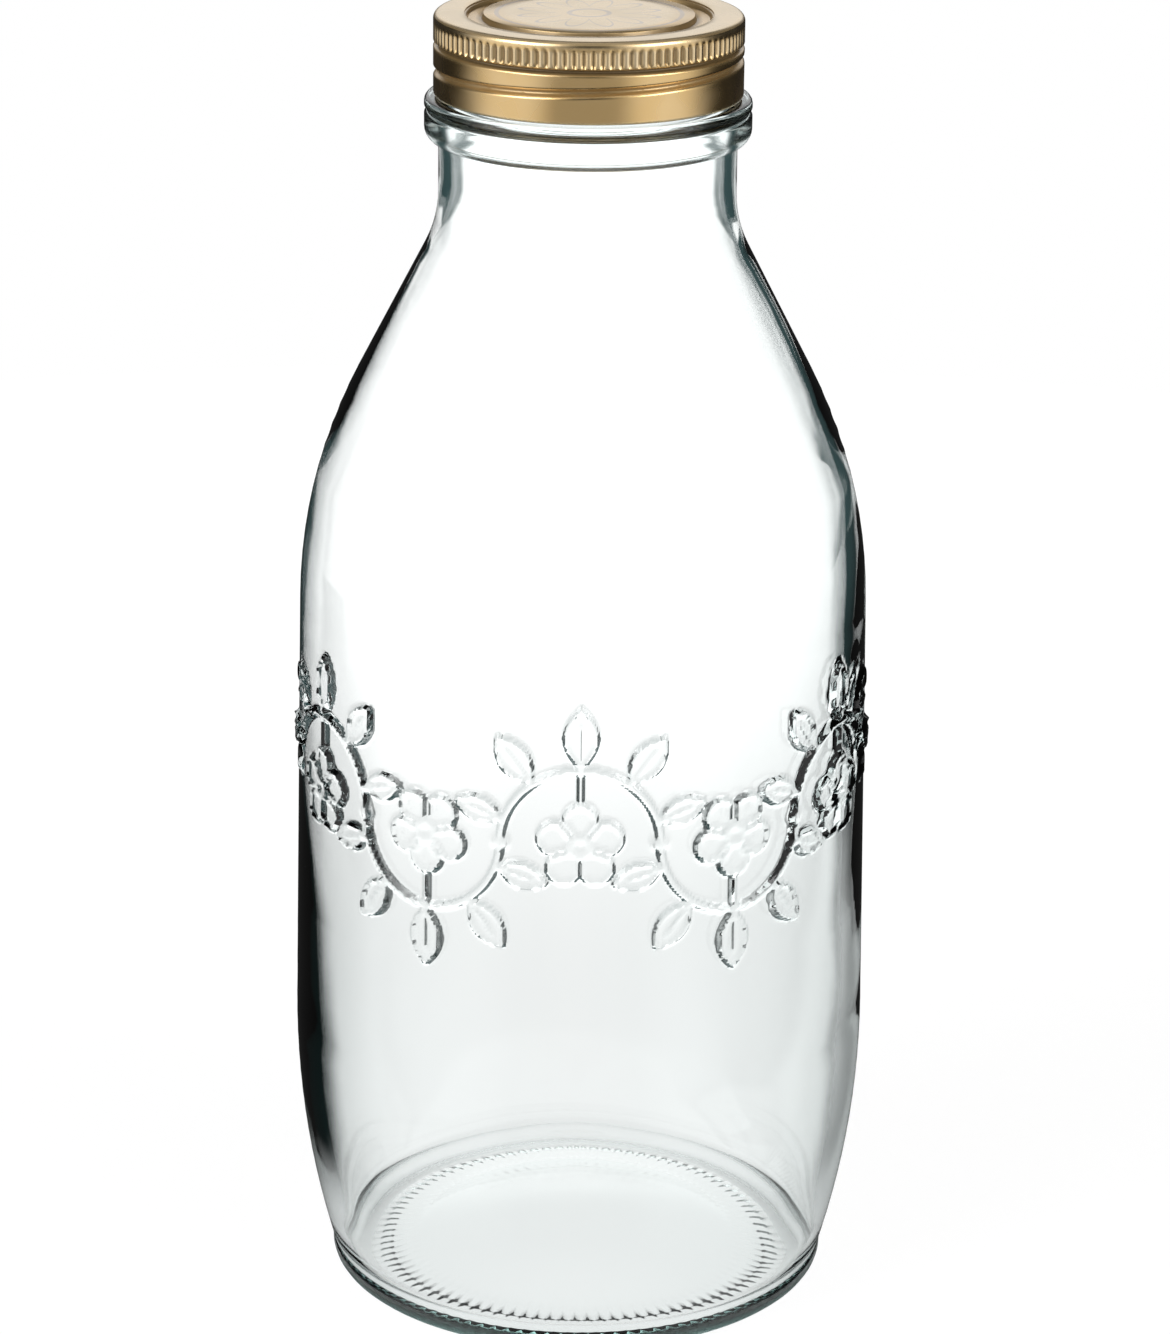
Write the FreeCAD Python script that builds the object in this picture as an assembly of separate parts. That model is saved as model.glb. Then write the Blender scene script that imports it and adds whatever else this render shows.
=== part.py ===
import FreeCAD, Part
import math
import os

# Glass milk bottle with a two-piece screw closure, in millimetres. Its four pieces are the blown
# bottle, the compound sealing ring, the stamped lid disc and the rolled screw band.
# +Z is up and the origin is at the middle of the bearing ring.

# Bottle body
body_r = 49.4
heel_rise = 46.9
heel_arc_r = 153.0
body_taper_deg = 0.95
straight_len = 72.9
shoulder_arc_r = 87.7
shoulder_angle_deg = 27.5
wall = 3.0

# Base
push_up = 3.5
base_t = 4.5
floor_dish = 1.5
floor_corner_r = 10.0
bearing_width = 6.0
bearing_corner = 2.4
bearing_corner_h = 3.6
push_up_wall = 1.4
push_up_wall_h = 1.4
rib_count = 96
rib_depth = 0.45
rib_groove_r = 0.8
rib_land = 2.2

# Neck and collar
neck_step = 1.35
neck_len = 8.5
neck_arc_r = 20.4
bore_arc_r = 25.0
collar_proud = 2.35
collar_h = 5.0
collar_groove = 0.5
collar_groove_h = 1.5
collar_lip_h = 2.95
collar_lip_r = 0.9

# Finish: the threaded mouth
finish_r = 23.35
finish_wall = 3.75
finish_h = 12.1
lip_round = 0.8
thread_pitch = 5.08
thread_depth = 1.0
thread_root_half = 1.0
thread_crest_half = 0.5
thread_sink = 0.3

# Vine in relief across the front
vine_drop = 27.7
vine_bows = 5
vine_bow_r = 13.0
vine_stem_half = 0.7
vine_height = 0.85
vine_sink = 0.6
vine_root_share = 0.8
vine_overlap_deg = 5.0
bud_r = 1.6
leaf_len = 11.0
leaf_half = 3.1
leaf_height = 0.55
leaf_places = ((90, 1.0), (53, 0.92), (127, 0.92), (18, 0.8), (162, 0.8))
blossom_r = 7.6
blossom_notch_share = 0.72
blossom_eye_r = 2.6
petal_count = 5

# Closure
sheet = 0.3
seal_t = 1.0
floor_clearance = 0.25
channel_width = 2.75
panel_slope = 1.3
panel_rise = 0.95
shoulder_round = 1.0
knurl_h = 3.35
knurl_count = 104
knurl_depth = 0.35
knurl_flute_r = 0.6
bead_half = 0.6
bead_floor_half = 0.2
curl_r = 0.45
groove_valley_half = 0.15
groove_edge_half = 0.6
groove_front_deg = 270.0
groove_front_drop = 7.4

# Clearances
thread_clearance = 0.35
crest_clearance = 0.9
band_gap = 0.3
seal_clearance = 0.1
disc_clearance = 0.1
ramp_clearance = 0.12
trim_over = 1.0

# Angles
taper = math.radians(body_taper_deg)
slope = math.radians(shoulder_angle_deg)

# Radii that follow from the finish
neck_r = finish_r + neck_step
collar_r = neck_r + collar_proud
mouth_r = finish_r - finish_wall
thread_crest_r = finish_r + thread_depth
band_in_r = thread_crest_r + crest_clearance
band_r = band_in_r + sheet
inward_r = finish_r + thread_clearance
valley_r = inward_r + sheet
knurl_in_r = band_r - knurl_depth - sheet
seal_in_r = mouth_r + lip_round + seal_clearance
seal_out_r = finish_r - lip_round
channel_r = seal_in_r - seal_clearance
opening_r = channel_r + disc_clearance
disc_r = knurl_in_r - shoulder_round + sheet - disc_clearance


def polar(centre, radius, angle):
    """Point of a circle in the r-z plane."""
    return (centre[0] + radius * math.cos(angle), centre[1] + radius * math.sin(angle))


def along(point, angle, length):
    """Point reached from another by going up a wall that leans inwards by an angle."""
    return (point[0] - length * math.sin(angle), point[1] + length * math.cos(angle))


def vec(point):
    """Place an r-z point in the XZ plane."""
    return FreeCAD.Vector(point[0], 0, point[1])


def line(start, end):
    """Straight edge between two r-z points."""
    return Part.LineSegment(vec(start), vec(end)).toShape()


def arc(start, middle, end):
    """Round edge through three r-z points."""
    return Part.Arc(vec(start), vec(middle), vec(end)).toShape()


def swing(centre, radius, first, last):
    """Round edge about a centre, from one angle to another."""
    points = [polar(centre, radius, a) for a in (first, (first + last) / 2, last)]
    return arc(*points)


def level_arc(level, end):
    """Round edge that leaves its first point level and ends at another point."""
    run = end[0] - level[0]
    rise = abs(end[1] - level[1])
    way = math.copysign(1, end[1] - level[1])
    radius = (run ** 2 + rise ** 2) / (2 * rise)
    half_turn = math.atan2(run, radius - rise) / 2
    lift = way * radius * (1 - math.cos(half_turn))
    return arc(level, (level[0] + radius * math.sin(half_turn), level[1] + lift), end)


def chain(points):
    """Straight edges through a row of r-z points."""
    return [line(a, b) for a, b in zip(points, points[1:])]


def lathe(edges):
    """Solid of revolution about Z from the edges of a closed r-z outline."""
    wire = Part.Wire(Part.__sortEdges__(edges))
    return Part.Face(wire).revolve(FreeCAD.Vector(0, 0, 0), FreeCAD.Vector(0, 0, 1), 360)


def ring_of(shape, count):
    """Copies of a shape spaced evenly about Z, as one compound."""
    copies = []
    for i in range(count):
        copy = shape.copy()
        copy.rotate(FreeCAD.Vector(0, 0, 0), FreeCAD.Vector(0, 0, 1), 360.0 * i / count)
        copies.append(copy)
    return Part.Compound(copies)


def helix_bar(section, start_z, start_deg, rise):
    """Sweep an r-z section up a right-hand helix of the thread's pitch."""
    path = Part.makeHelix(thread_pitch, rise, section[0][0])
    outline = Part.makePolygon([vec(p) for p in section + section[:1]])
    bar = Part.Wire(path).makePipeShell([outline], True, True)
    bar.translate(FreeCAD.Vector(0, 0, start_z))
    bar.rotate(FreeCAD.Vector(0, 0, 0), FreeCAD.Vector(0, 0, 1), start_deg)
    return bar


def end_block(inner_r, outer_r, low_y, high_y, z, half, deg):
    """Box that trims a thread's end, with its faces square to the radius at an angle."""
    size = (outer_r - inner_r, high_y - low_y, 2 * half)
    block = Part.makeBox(*size, FreeCAD.Vector(inner_r, low_y, z - half))
    block.rotate(FreeCAD.Vector(0, 0, 0), FreeCAD.Vector(0, 0, 1), deg)
    return block


# Heights and points of the bottle's outline, from the base up
heel_centre = (body_r - heel_arc_r, heel_rise)
heel_low_angle = -math.asin((heel_rise - bearing_corner_h) / heel_arc_r)
heel_low = polar(heel_centre, heel_arc_r, heel_low_angle)
bearing_out = (heel_low[0] - bearing_corner, 0)
bearing_in = (bearing_out[0] - bearing_width, 0)
body_low = polar(heel_centre, heel_arc_r, taper)
body_high = along(body_low, taper, straight_len)
shoulder_centre = polar(body_high, -shoulder_arc_r, taper)
cone_low = polar(shoulder_centre, shoulder_arc_r, slope)
neck_arc_start_r = neck_r + neck_arc_r * (1 - math.cos(slope))
cone_high = along(cone_low, slope, (cone_low[0] - neck_arc_start_r) / math.sin(slope))
neck_arc_centre = (neck_r + neck_arc_r, cone_high[1] + neck_arc_r * math.sin(slope))
collar_low = neck_arc_centre[1] + neck_len
collar_top = collar_low + collar_proud + collar_h
glass_top = collar_top + finish_h

# The vine's middle line on the straight wall, and the angle from one of its bows to the next
vine_z = body_high[1] - vine_drop
vine_r = body_high[0] + vine_drop * math.tan(taper)
vine_step_deg = 2 * math.degrees(math.asin(vine_bow_r / vine_r))

# Heights of the closure, from the bottle's rim up
disc_low = glass_top + seal_t
disc_top = disc_low + sheet
band_top = disc_top + sheet
channel_low = glass_top + floor_clearance
channel_top = channel_low + sheet
panel_top = channel_top + panel_rise
band_low = collar_top + band_gap
knurl_top = band_top - shoulder_round
knurl_low = knurl_top - knurl_h
bead_z = knurl_low - bead_half
belt_top = bead_z - bead_half

# The band's rolled thread, and the bottle's thread just above it
ridge_crest_half = groove_valley_half + sheet / 2
ridge_wall_half = groove_edge_half + sheet
ridge_low_z = band_low + 2 * curl_r + ridge_wall_half
ridge_high_z = belt_top - ridge_wall_half
ridge_front_z = band_top - groove_front_drop
ridge_low_deg = groove_front_deg - (ridge_front_z - ridge_low_z) * 360.0 / thread_pitch
thread_lead = thread_root_half + ridge_crest_half + thread_clearance
thread_low_z = collar_top + thread_root_half + thread_clearance / 2
thread_high_z = belt_top - thread_root_half - thread_clearance
thread_low_deg = ridge_low_deg + (thread_low_z - thread_lead - ridge_low_z) * 360.0 / thread_pitch


def bottle_outside():
    """Edges of the bottle's outer outline, from the push-up's middle to the rim."""
    push_up_edge = (bearing_in[0] - push_up_wall, push_up_wall_h)
    edges = [
        level_arc((0, push_up), push_up_edge),
        line(push_up_edge, bearing_in),
        line(bearing_in, bearing_out),
        level_arc(bearing_out, heel_low),
        swing(heel_centre, heel_arc_r, heel_low_angle, taper),
        line(body_low, body_high),
        swing(shoulder_centre, shoulder_arc_r, taper, slope),
        line(cone_low, cone_high),
        swing(neck_arc_centre, neck_arc_r, math.pi + slope, math.pi),
    ]
    return edges + collar_edges() + finish_edges()


def collar_edges():
    """Edges of the carrying collar: a round underside, a shallow groove and a thin top lip."""
    bulge = (neck_r, collar_low + collar_proud)
    lip_low = collar_top - collar_lip_h
    groove_low = (collar_r, lip_low)
    groove_mid = (collar_r - collar_groove, lip_low + collar_groove_h / 2)
    groove_high = (collar_r, lip_low + collar_groove_h)
    lip = (collar_r - collar_lip_r, collar_top - collar_lip_r)
    return [
        line((neck_r, neck_arc_centre[1]), (neck_r, collar_low)),
        swing(bulge, collar_proud, -math.pi / 2, 0),
        line((collar_r, bulge[1]), groove_low),
        arc(groove_low, groove_mid, groove_high),
        line(groove_high, (collar_r, lip[1])),
        swing(lip, collar_lip_r, 0, math.pi / 2),
        line((lip[0], collar_top), (finish_r, collar_top)),
    ]


def finish_edges():
    """Edges of the mouth, from the collar over the rim into the bore."""
    turn_z = glass_top - lip_round
    outer = (finish_r - lip_round, turn_z)
    inner = (mouth_r + lip_round, turn_z)
    return [
        line((finish_r, collar_top), (finish_r, turn_z)),
        swing(outer, lip_round, 0, math.pi / 2),
        line((outer[0], glass_top), (inner[0], glass_top)),
        swing(inner, lip_round, math.pi / 2, math.pi),
    ]


def bottle_inside():
    """Edges of the cavity's outline, from the bore down to the floor's middle."""
    bore_start_r = mouth_r + bore_arc_r * (1 - math.cos(slope))
    cone_in_low = polar(shoulder_centre, shoulder_arc_r - wall, slope)
    cone_in_high = along(cone_in_low, slope, (cone_in_low[0] - bore_start_r) / math.sin(slope))
    bore_centre = (mouth_r + bore_arc_r, cone_in_high[1] + bore_arc_r * math.sin(slope))
    body_in_low = polar(heel_centre, heel_arc_r - wall, taper)
    body_in_high = polar(shoulder_centre, shoulder_arc_r - wall, taper)
    floor_mid_z = push_up + base_t
    floor_z = floor_mid_z - floor_dish
    corner_z = floor_z + floor_corner_r
    reach = heel_arc_r - wall - floor_corner_r
    corner_a = -math.asin((heel_rise - corner_z) / reach)
    corner = polar(heel_centre, reach, corner_a)
    floor_edge = (corner[0], floor_z)
    return [
        line((mouth_r, glass_top - lip_round), (mouth_r, bore_centre[1])),
        swing(bore_centre, bore_arc_r, math.pi, math.pi + slope),
        line(cone_in_high, cone_in_low),
        swing(shoulder_centre, shoulder_arc_r - wall, slope, taper),
        line(body_in_high, body_in_low),
        swing(heel_centre, heel_arc_r - wall, taper, corner_a),
        swing(corner, floor_corner_r, corner_a, -math.pi / 2),
        level_arc((0, floor_mid_z), floor_edge),
        line((0, floor_mid_z), (0, push_up)),
    ]


def base_grooves():
    """Short radial grooves that leave the bearing ring with a row of fine ribs."""
    start = FreeCAD.Vector(bearing_in[0] + rib_land, 0, rib_depth - rib_groove_r)
    length = bearing_width - rib_land + bearing_corner
    rod = Part.makeCylinder(rib_groove_r, length, start, FreeCAD.Vector(1, 0, 0))
    return ring_of(rod, rib_count)


def bottle_thread():
    """Single raised thread of the mouth, with both ends sloping down to the wall."""
    spread = (thread_root_half - thread_crest_half) * thread_sink / thread_depth
    section = [
        (finish_r - thread_sink, -thread_root_half - spread),
        (thread_crest_r, -thread_crest_half),
        (thread_crest_r, thread_crest_half),
        (finish_r - thread_sink, thread_root_half + spread),
    ]
    rise = thread_high_z - thread_low_z
    bar = helix_bar(section, thread_low_z, thread_low_deg, rise)
    end_deg = thread_low_deg + rise * 360.0 / thread_pitch
    ramp_r = finish_r - thread_sink / 2
    reach = math.sqrt(thread_crest_r ** 2 - ramp_r ** 2) + trim_over
    half = thread_pitch / 2
    far_r = thread_crest_r + trim_over
    low_end = end_block(ramp_r, far_r, -trim_over, reach, thread_low_z, half, thread_low_deg)
    high_end = end_block(ramp_r, far_r, -reach, trim_over, thread_high_z, half, end_deg)
    return bar.cut([low_end, high_end])


def stamp(edges):
    """Prism out through the front wall, from an outline in the XZ plane about the vine's middle line."""
    face = Part.Face(Part.Wire(Part.__sortEdges__(edges)))
    root_r = vine_root_share * vine_r
    face.translate(FreeCAD.Vector(0, -root_r, vine_z))
    return face.extrude(FreeCAD.Vector(0, root_r - vine_r - 2 * vine_height, 0))


def disc_stamp(radius):
    """Round prism out through the front wall."""
    return stamp([swing((0, 0), radius, 0, math.pi), swing((0, 0), radius, math.pi, 2 * math.pi)])


def stem_bow():
    """One bow of the stem, half a ring that overlaps the next one, with a stalk in to its blossom."""
    overlap = math.radians(vine_overlap_deg)
    ends = (-overlap, math.pi + overlap)
    inner = vine_bow_r - vine_stem_half
    outer = vine_bow_r + vine_stem_half
    edges = [swing((0, 0), radius, *ends) for radius in (inner, outer)]
    edges += [line(polar((0, 0), inner, end), polar((0, 0), outer, end)) for end in ends]
    half, low = vine_stem_half, blossom_r * blossom_notch_share
    stalk = [(-half, low), (half, low), (half, vine_bow_r), (-half, vine_bow_r)]
    return stamp(edges).fuse(stamp(chain(stalk + stalk[:1])))


def leaf(place_deg, size):
    """Pointed leaf that leaves the bow outwards, from its place along the bow."""
    angle = math.radians(place_deg)
    foot, middle, tip = (polar((0, 0), vine_bow_r + leaf_len * size * share, angle) for share in (0, 0.5, 1))
    sides = (polar(middle, leaf_half * size, angle + turn) for turn in (-math.pi / 2, math.pi / 2))
    return stamp([arc(foot, side, tip) for side in sides])


def blossom():
    """Open blossom of round petals."""
    half = math.pi / petal_count
    notch = blossom_r * blossom_notch_share
    edges = []
    for i in range(petal_count):
        tip = math.pi / 2 + 2 * half * i
        notches = [polar((0, 0), notch, tip + side) for side in (-half, half)]
        edges.append(arc(notches[0], polar((0, 0), blossom_r, tip), notches[1]))
    return stamp(edges)


def on_vine(shape, step, hanging):
    """Copy of a shape some steps along the vine, turned upside down on a hanging bow."""
    copy = shape.copy()
    if hanging:
        copy.rotate(FreeCAD.Vector(0, 0, vine_z), FreeCAD.Vector(0, 1, 0), 180)
    copy.rotate(FreeCAD.Vector(0, 0, 0), FreeCAD.Vector(0, 0, 1), step * vine_step_deg)
    return copy


def relief_skin(height):
    """Skin on the straight wall, from inside the glass to a height over it."""
    low, high = body_low, body_high
    points = [
        (low[0] - vine_sink, low[1]),
        (low[0] + height, low[1]),
        (high[0] + height, high[1]),
        (high[0] - vine_sink, high[1]),
    ]
    return lathe(chain(points + points[:1]))


def vine():
    """The relief: the stem with buds, stalks and the blossoms' eyes, and the flatter leaves and blossoms."""
    strokes = [stem_bow(), disc_stamp(blossom_eye_r)]
    pads = [leaf(*place) for place in leaf_places] + [blossom()]
    middle = (vine_bows - 1) / 2
    tall, flat = [], []
    for i in range(vine_bows):
        tall += [on_vine(shape, i - middle, i % 2) for shape in strokes]
        flat += [on_vine(shape, i - middle, i % 2) for shape in pads]
    bud = disc_stamp(bud_r)
    tall += [on_vine(bud, i - middle - 0.5, False) for i in range(vine_bows + 1)]
    stem = tall[0].fuse(tall[1:]).common(relief_skin(vine_height))
    return [stem, Part.Compound(flat).common(relief_skin(leaf_height))]


def make_bottle():
    """The blown bottle: body with its vine, shoulder, neck, collar and threaded mouth."""
    blank = lathe(bottle_outside() + bottle_inside())
    return blank.fuse(vine()).fuse(bottle_thread()).cut(base_grooves())


def make_sealing_ring():
    """Flat ring of sealing compound under the lid disc."""
    outer = Part.makeCylinder(seal_out_r, seal_t, FreeCAD.Vector(0, 0, glass_top))
    inner = Part.makeCylinder(seal_in_r, seal_t, FreeCAD.Vector(0, 0, glass_top))
    return outer.cut(inner)


def make_lid_disc():
    """Stamped disc: a flat rim, a channel inside the rim and a raised middle panel."""
    panel_foot_r = channel_r - channel_width
    panel_r = panel_foot_r - panel_slope
    top = [
        (0, panel_top),
        (panel_r, panel_top),
        (panel_foot_r, channel_top),
        (channel_r - sheet, channel_top),
        (channel_r - sheet, disc_top),
        (disc_r, disc_top),
    ]
    under = [
        (disc_r, disc_low),
        (channel_r, disc_low),
        (channel_r, channel_low),
        (panel_foot_r - sheet, channel_low),
        (panel_r - sheet, panel_top - sheet),
        (0, panel_top - sheet),
    ]
    return lathe(chain(top + under + top[:1]))


def band_wall():
    """The band before its threads: flange, shoulder, knurl belt, bead, skirt and curled edge."""
    curl = (band_r - curl_r, band_low + curl_r)
    curl_top = curl[1] + curl_r
    inner_turn = shoulder_round - sheet
    flange_low = band_top - sheet
    outer_bead = [
        (band_r, bead_z + bead_half),
        (valley_r, bead_z + bead_floor_half),
        (valley_r, bead_z - bead_floor_half),
        (band_r, belt_top),
        (band_r, curl[1]),
    ]
    inner_bead = [
        (curl[0], curl_top),
        (band_in_r, curl_top),
        (band_in_r, belt_top - sheet / 2),
        (inward_r, bead_z - bead_floor_half),
        (inward_r, bead_z + bead_floor_half),
        (knurl_in_r, bead_z + bead_half),
        (knurl_in_r, flange_low - inner_turn),
    ]
    edges = [
        line((opening_r, band_top), (band_r - shoulder_round, band_top)),
        swing((band_r - shoulder_round, knurl_top), shoulder_round, math.pi / 2, 0),
        line((band_r, knurl_top), outer_bead[0]),
        swing(curl, curl_r, 0, -math.pi),
        swing(curl, curl_r, math.pi, math.pi / 2),
        swing((knurl_in_r - inner_turn, flange_low - inner_turn), inner_turn, 0, math.pi / 2),
        line((knurl_in_r - inner_turn, flange_low), (opening_r, flange_low)),
        line((opening_r, flange_low), (opening_r, band_top)),
    ]
    return lathe(edges + chain(outer_bead) + chain(inner_bead))


def knurl_flutes():
    """Upright flutes in the belt under the shoulder, arched where they run out into its round."""
    axis_r = band_r - knurl_depth + knurl_flute_r
    low = FreeCAD.Vector(axis_r, 0, bead_z)
    return ring_of(Part.makeCylinder(knurl_flute_r, band_top - bead_z, low), knurl_count)


def rolled_bar(tip_r, tip_half, edge_r, edge_half):
    """Bar along the band's rolled thread whose two ends rise back to the wall."""
    section = [(tip_r, -tip_half), (edge_r, -edge_half), (edge_r, edge_half), (tip_r, tip_half)]
    rise = ridge_high_z - ridge_low_z
    bar = helix_bar(section, ridge_low_z, ridge_low_deg, rise)
    ramp_r = tip_r + ramp_clearance
    ramp_deg = math.degrees(math.acos(ramp_r / edge_r))
    reach = math.sqrt(edge_r ** 2 - ramp_r ** 2) + trim_over
    end_deg = ridge_low_deg + rise * 360.0 / thread_pitch
    half = thread_pitch / 2
    near_r = tip_r ** 2 / edge_r - trim_over
    low_end = end_block(near_r, ramp_r, -reach, reach, ridge_low_z, half, ridge_low_deg + ramp_deg)
    high_end = end_block(near_r, ramp_r, -reach, reach, ridge_high_z, half, end_deg - ramp_deg)
    return bar.cut([low_end, high_end])


def make_screw_band():
    """The rolled tinplate band that clamps the disc and screws onto the bottle."""
    ridge = rolled_bar(inward_r, ridge_crest_half, band_in_r + sheet / 2, ridge_wall_half)
    groove = rolled_bar(valley_r, groove_valley_half, band_r + sheet, groove_edge_half)
    return band_wall().fuse(ridge).cut(groove).cut(knurl_flutes())


def main():
    """Build each piece and write it under its own name."""
    os.makedirs("parts", exist_ok=True)
    pieces = {
        "bottle": make_bottle(),
        "sealing_ring": make_sealing_ring(),
        "lid_disc": make_lid_disc(),
        "screw_band": make_screw_band(),
    }
    for name, shape in pieces.items():
        solids = shape.Solids
        print(name, len(solids), "solid", shape.isValid(), "volume", round(shape.Volume / 1000, 3), "cm3")
        Part.makeCompound(solids).exportStep("parts/" + name + ".step")


main()
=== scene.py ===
"""Looks of a clear glass milk bottle with a gold lacquered screw closure.

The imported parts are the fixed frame. The glass, the screw band and the lid disc are modelled anew at
full detail in the same place, and the sealing ring keeps its solid and gets its finish.
"""
import logging
import math
from dataclasses import dataclass, field
from enum import Enum
from typing import Iterator, Sequence, Union

import bpy
import numpy as np
from mathutils import Matrix, Vector


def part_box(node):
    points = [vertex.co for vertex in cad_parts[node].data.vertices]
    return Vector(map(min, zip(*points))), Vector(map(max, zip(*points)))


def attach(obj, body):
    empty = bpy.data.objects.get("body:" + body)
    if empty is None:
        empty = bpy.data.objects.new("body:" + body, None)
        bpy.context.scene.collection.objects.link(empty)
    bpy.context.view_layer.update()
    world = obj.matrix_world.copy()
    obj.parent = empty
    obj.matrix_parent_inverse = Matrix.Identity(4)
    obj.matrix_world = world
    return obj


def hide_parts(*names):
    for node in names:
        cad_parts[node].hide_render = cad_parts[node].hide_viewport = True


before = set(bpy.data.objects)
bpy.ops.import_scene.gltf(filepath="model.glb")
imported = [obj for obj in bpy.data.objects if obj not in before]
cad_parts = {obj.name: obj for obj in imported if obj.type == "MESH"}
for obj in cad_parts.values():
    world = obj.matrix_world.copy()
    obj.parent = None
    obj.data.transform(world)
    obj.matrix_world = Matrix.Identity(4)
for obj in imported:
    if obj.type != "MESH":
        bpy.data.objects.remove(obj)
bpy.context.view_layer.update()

MM = 0.001
TURN = 2 * math.pi
FRONT = math.radians(270.0)
MERGE_DISTANCE = 0.002 * MM
SAME_POINT = 1e-4
RIDGE_POWER = 1.5
WHITE = (1.0, 1.0, 1.0)

Point = tuple[float, float]
Colour = tuple[float, float, float]
Scalar = Union["Sock", float]

log = logging.getLogger("milk_bottle")


class Sock:
    """One output of a node, on which Python's operators add Math nodes."""

    def __init__(self, book: "NodeBook", out: bpy.types.NodeSocket) -> None:
        """Keep the socket and the book of its tree.

        Args:
            book: The book that adds nodes to the socket's tree.
            out: The output socket.
        """
        self.book = book
        self.out = out

    def __add__(self, other: Scalar) -> "Sock":
        """Sum."""
        return self.book.math("ADD", self, other)

    def __radd__(self, other: Scalar) -> "Sock":
        """Sum with a number on the left."""
        return self.book.math("ADD", other, self)

    def __sub__(self, other: Scalar) -> "Sock":
        """Difference."""
        return self.book.math("SUBTRACT", self, other)

    def __rsub__(self, other: Scalar) -> "Sock":
        """Difference from a number on the left."""
        return self.book.math("SUBTRACT", other, self)

    def __mul__(self, other: Scalar) -> "Sock":
        """Product."""
        return self.book.math("MULTIPLY", self, other)

    def __rmul__(self, other: Scalar) -> "Sock":
        """Product with a number on the left."""
        return self.book.math("MULTIPLY", other, self)

    def __truediv__(self, other: Scalar) -> "Sock":
        """Quotient."""
        return self.book.math("DIVIDE", self, other)

    def __rtruediv__(self, other: Scalar) -> "Sock":
        """Quotient of a number on the left."""
        return self.book.math("DIVIDE", other, self)

    def __abs__(self) -> "Sock":
        """Size without sign."""
        return self.book.math("ABSOLUTE", self)

    def __gt__(self, other: Scalar) -> "Sock":
        """One where the value is greater, and otherwise zero."""
        return self.book.math("GREATER_THAN", self, other)

    def root(self) -> "Sock":
        """Square root."""
        return self.book.math("SQRT", self)

    def most(self, other: Scalar) -> "Sock":
        """The greater of two values."""
        return self.book.math("MAXIMUM", self, other)

    def sine(self) -> "Sock":
        """Sine of an angle in radians."""
        return self.book.math("SINE", self)

    def bearing(self, run: "Sock") -> "Sock":
        """Angle whose tangent is this value over another."""
        return self.book.math("ARCTAN2", self, run)

    def step(self, low: float, high: float) -> "Sock":
        """Smooth rise from zero to one between two values.

        Args:
            low: Value at which it is zero.
            high: Value at which it is one, over or under the other.

        Returns:
            The rise.
        """
        first, last = (0.0, 1.0) if low < high else (1.0, 0.0)
        limits = {"From Min": min(low, high), "From Max": max(low, high), "To Min": first, "To Max": last}
        settings = {"interpolation_type": "SMOOTHSTEP"}
        made = self.book.node("ShaderNodeMapRange", settings, {"Value": self, **limits})
        return Sock(self.book, made.outputs["Result"])


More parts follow.
